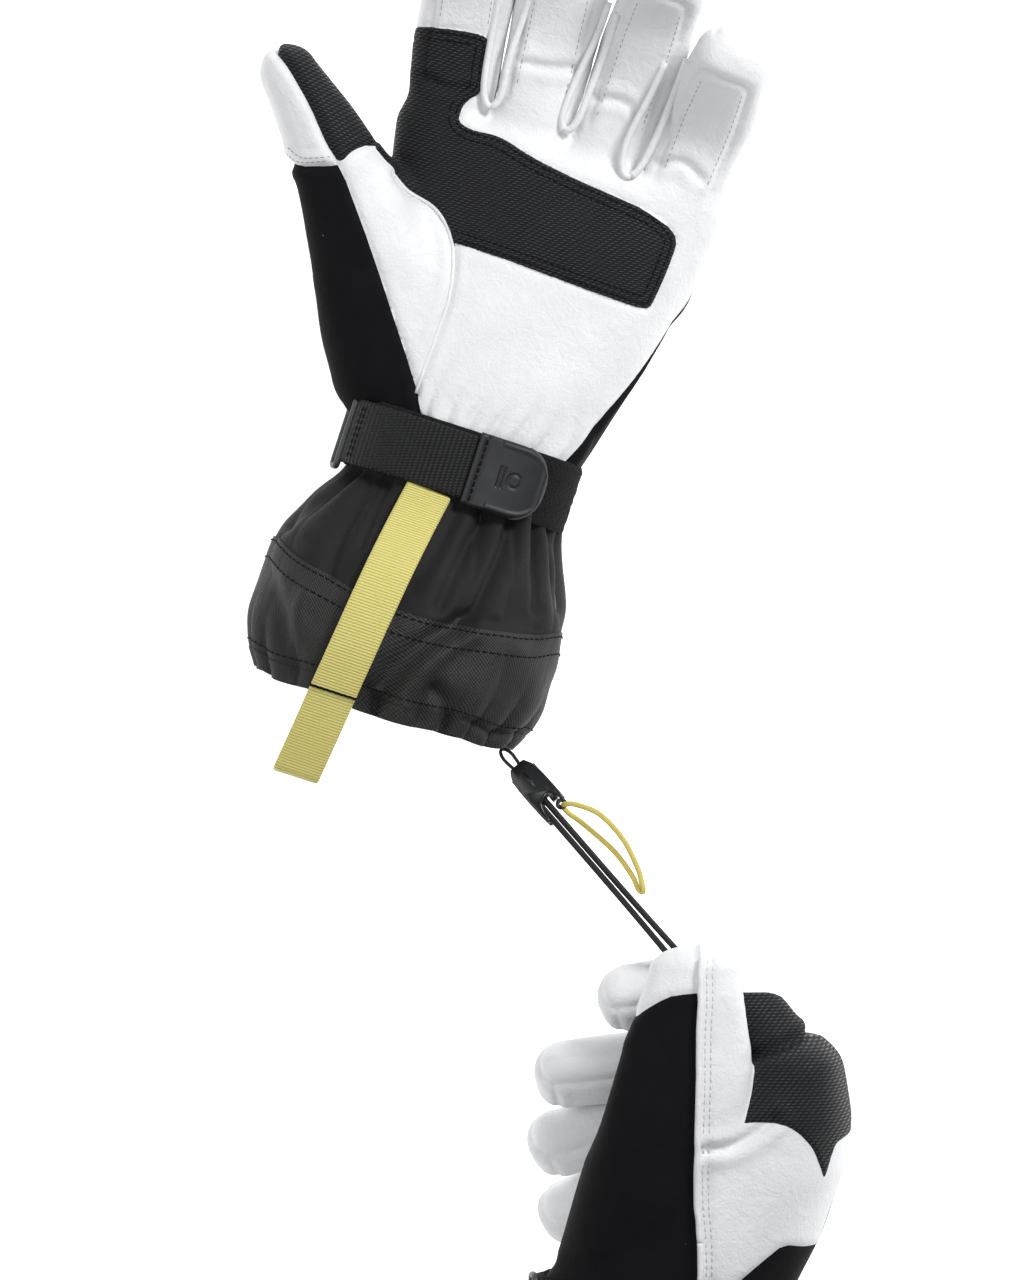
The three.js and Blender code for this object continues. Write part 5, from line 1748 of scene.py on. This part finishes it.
CORD_ROUTE = [
    (2, CORD_Y - 1.35, 0), (30, CORD_Y - 1.3, 0), (70, CORD_Y - 1.4, 0), (100, CORD_Y - 1.9, 0),
    (116, CORD_Y - 2.6, 0.2), (123, CORD_Y - 2.2, 0.2), (126, CORD_Y, 0.2), (123, CORD_Y + 2.2, 0.2),
    (116, CORD_Y + 2.6, 0.2), (100, CORD_Y + 1.9, 0), (70, CORD_Y + 1.4, 0), (30, CORD_Y + 1.3, 0),
    (2, CORD_Y + 1.35, 0),
]


def make_drawcord():
    """The elastic drawcord, from the lock to its turn inside the right glove's grip and back."""
    line = catmull(lock_points(CORD_ROUTE), 130)
    points, faces, ribs = sweep(line, ABOVE, round_section(CORD_DIAMETER / 2, 12))
    cord = make_mesh("left_drawcord_elastic", "pair", points, faces, "cord", None, node=["left_drawcord"],
                     slot="cord", attributes={"tape": ribs})
    row = to_row("pair", line)
    start, end = to_row("pair", lock_point(24, 0)), to_row("pair", lock_point(100, 0))
    tuple(start)
    tuple(end)
    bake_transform(cord)


def bevelled_prism(outline, low, high, bevel):
    """A prism over a closed outline with small bevels at both ends."""
    p = np.asarray(outline, float)
    centre = p.mean(0)
    edge = np.roll(p, -1, 0) - np.roll(p, 1, 0)
    inward = unit(np.stack([-edge[:, 1], edge[:, 0]], -1))
    area = 0.5 * np.sum(p[:, 0] * np.roll(p[:, 1], -1) - np.roll(p[:, 0], -1) * p[:, 1])
    if area < 0:
        inward = -inward
    rings = []
    for z, inset in ((low, bevel), (low + bevel * 0.3, bevel * 0.3), (low + bevel, 0), (high - bevel, 0),
                     (high - bevel * 0.3, bevel * 0.3), (high, bevel)):
        ring = p + inward * inset
        rings.append(np.c_[ring, np.full(len(p), z)])
    points = np.vstack(rings)
    count = len(p)
    faces = grid_faces(len(rings), count, flip=area < 0)
    faces += [list(range(count))[::-1], [5 * count + k for k in range(count)]]
    if area < 0:
        faces[-2], faces[-1] = faces[-2][::-1], faces[-1][::-1]
    return points, faces


def make_lock():
    """The moulded lock: a housing with two prongs, the wedge between them, and its release loop."""
    hand = "left_hand"
    outline = [(0, -3), (1.2, -4), (4, -5.3), (9, -5.9), (18, -5.9), (25, -5.6), (26, -4.9), (25.4, -3.9),
               (22, -3.5), (19, -2.6), (17, -0.6), (16.2, 1.6), (17.4, 3.2), (20.5, 4.6), (21.2, 5.6), (19, 6),
               (9, 5.9), (4, 5.3), (1.2, 4), (0, 3)]
    curve = catmull(np.c_[np.vstack([outline, outline[:1]]), np.zeros(len(outline) + 1)], 90)[:-1, :2]
    heap = Heap()
    for low, high in ((1.75, 3.9), (-3.9, -1.75)):
        points, faces = bevelled_prism(curve, low, high, 0.6)
        heap.add(lock_points(points), faces)
    for y0, y1 in ((-5.7, -4.75), (4.6, 5.7)):
        wall = [(3.4, y0), (18.5, y0), (18.5, y1), (3.4, y1)]
        points, faces = bevelled_prism(wall, -1.9, 1.9, 0.1)
        heap.add(lock_points(points), faces)
    rib = [(5, 0.75), (15, 0.75), (15, 1.15), (5, 1.15)]
    points, faces = bevelled_prism(rib, -1.9, 1.9, 0.05)
    heap.add(lock_points(points), faces)
    ridge = [(4.5, -0.6), (12.5, -0.6), (12.5, 0.6), (4.5, 0.6)]
    points, faces = bevelled_prism(ridge, 3.7, 4.35, 0.25)
    heap.add(lock_points(points), faces)
    heap.make("left_lock_housing", "pair", "plastic", hand, node=["left_lock_body"], slot="plastic")
    heap = Heap()
    wedge = [(5.5, WEDGE_Y - 0.9), (20, WEDGE_Y - 1.25), (20, WEDGE_Y + 1.25), (5.5, WEDGE_Y + 0.9)]
    points, faces = bevelled_prism(wedge, -1.3, 1.3, 0.3)
    heap.add(lock_points(points), faces)
    eye = []
    for angle in np.linspace(0, 2 * math.pi, 25):
        eye.append((22.6 + 1.5 * math.cos(angle), EYE_Y + 1.5 * math.sin(angle), 0))
    ring = lock_points(eye)
    points, faces, _ = sweep(ring, ABOVE, round_section(0.85, 8))
    heap.add(points, faces)
    heap.make("left_lock_slider", "pair", "plastic", "lock_release", node=["left_lock_wedge"], slot="plastic")
    # The release loop is a flat yellow cord through the wedge's eye.
    loop = [(23.2, EYE_Y, 0), (24, EYE_Y - 0.3, -1.6), (27, EYE_Y - 0.2, -2.5), (34, EYE_Y + 1.3, -2.4),
            (50, EYE_Y + 3.3, -1.2), (62, EYE_Y + 2.5, 0), (68.5, EYE_Y + 0.8, 0.4), (70.5, EYE_Y + 1.6, 1.0),
            (68, EYE_Y + 3.2, 1.6), (62, EYE_Y + 6, 1.8), (50, EYE_Y + 9.0, 2.6), (37, EYE_Y + 8.6, 3.4),
            (28, EYE_Y + 4.4, 3.4), (24.4, EYE_Y + 1.2, 2.4), (23.2, EYE_Y, 0)]
    line = catmull(lock_points(loop), 150)
    points, faces, ribs = sweep(line, ABOVE, round_section(1.05, 10, 0.55))
    make_mesh("left_release_loop", "pair", points, faces, "yellow_cord", "lock_release",
              node=["left_lock_pull"], slot="yellow", attributes={"tape": ribs})
    # A thin black tether ties the lock to the hem's eyelet.
    tether = [(1.5, 0.8, 0), (-2, 1.3, 0.5), (-6, 1.5, 0.4), (-9, 0.4, 0), (-9.4, -1.2, -0.4), (-7, -2.2, -0.6),
              (-4, -2.2, -0.4), (-1, -1.8, 0), (1.5, -0.8, 0)]
    line = catmull(lock_points(tether), 60)
    points, faces, ribs = sweep(line, ABOVE, round_section(0.7, 8))
    make_mesh("left_lock_tether", "pair", points, faces, "cord", hand, node=["left_lock_anchor"],
              slot="webbing", attributes={"tape": ribs})


# ---- stage ---------------------------------------------------------------------------------------------


# Each area light's name, place in metres, size in metres and power in watts.
LIGHTS = [
    ("key", (0.95, 1.0, 1.05), 0.5, 21),
    ("fill", (-1.2, 0.2, 1.0), 1.0, 6),
    ("top", (0.0, -0.1, 1.7), 0.9, 7),
]


def make_stage():
    """A white floor under the gloves, a pale surrounding and three area lights."""
    bpy.context.scene.view_settings.view_transform = "Standard"
    n = Nodes("floor", rough=0.9, Specular_IOR_Level=0.1)
    place = n.node("ShaderNodeTexCoord").outputs["Object"]
    n.shader.inputs["Emission Color"].default_value = (1, 1, 1, 1)
    n.shader.inputs["Emission Strength"].default_value = 0.85
    n.finish(n.mix(n.noise(place, 30.0, 2), (0.84, 0.84, 0.84), (0.86, 0.86, 0.86)))
    mesh = bpy.data.meshes.new("floor")
    mesh.from_pydata([(-6, -6, 0), (6, -6, 0), (6, 6, 0), (-6, 6, 0)], [], [(0, 1, 2, 3)])
    mesh.materials.append(MATERIALS["floor"])
    floor = bpy.data.objects.new("floor", mesh)
    bpy.context.scene.collection.objects.link(floor)
    world = bpy.data.worlds.new("world")
    bpy.context.scene.world = world
    world.use_nodes = True
    world.node_tree.nodes["Background"].inputs[0].default_value = (1, 1, 1, 1)
    world.node_tree.nodes["Background"].inputs[1].default_value = 0.22
    for name, at, size, power in LIGHTS:
        data = bpy.data.lights.new(name, "AREA")
        data.size, data.energy = size, power
        light = bpy.data.objects.new(name, data)
        light.location = at
        light.rotation_euler = (-Vector(at)).to_track_quat("-Z", "Y").to_euler()
        bpy.context.scene.collection.objects.link(light)


make_drawcord()
make_left_hand()
make_right_hand()
for glove_side in ("left", "right"):
    make_inner_skins(glove_side)
    make_cuff(glove_side)
    make_wrist(glove_side)
    make_puller(glove_side)
make_lock()
make_stage()
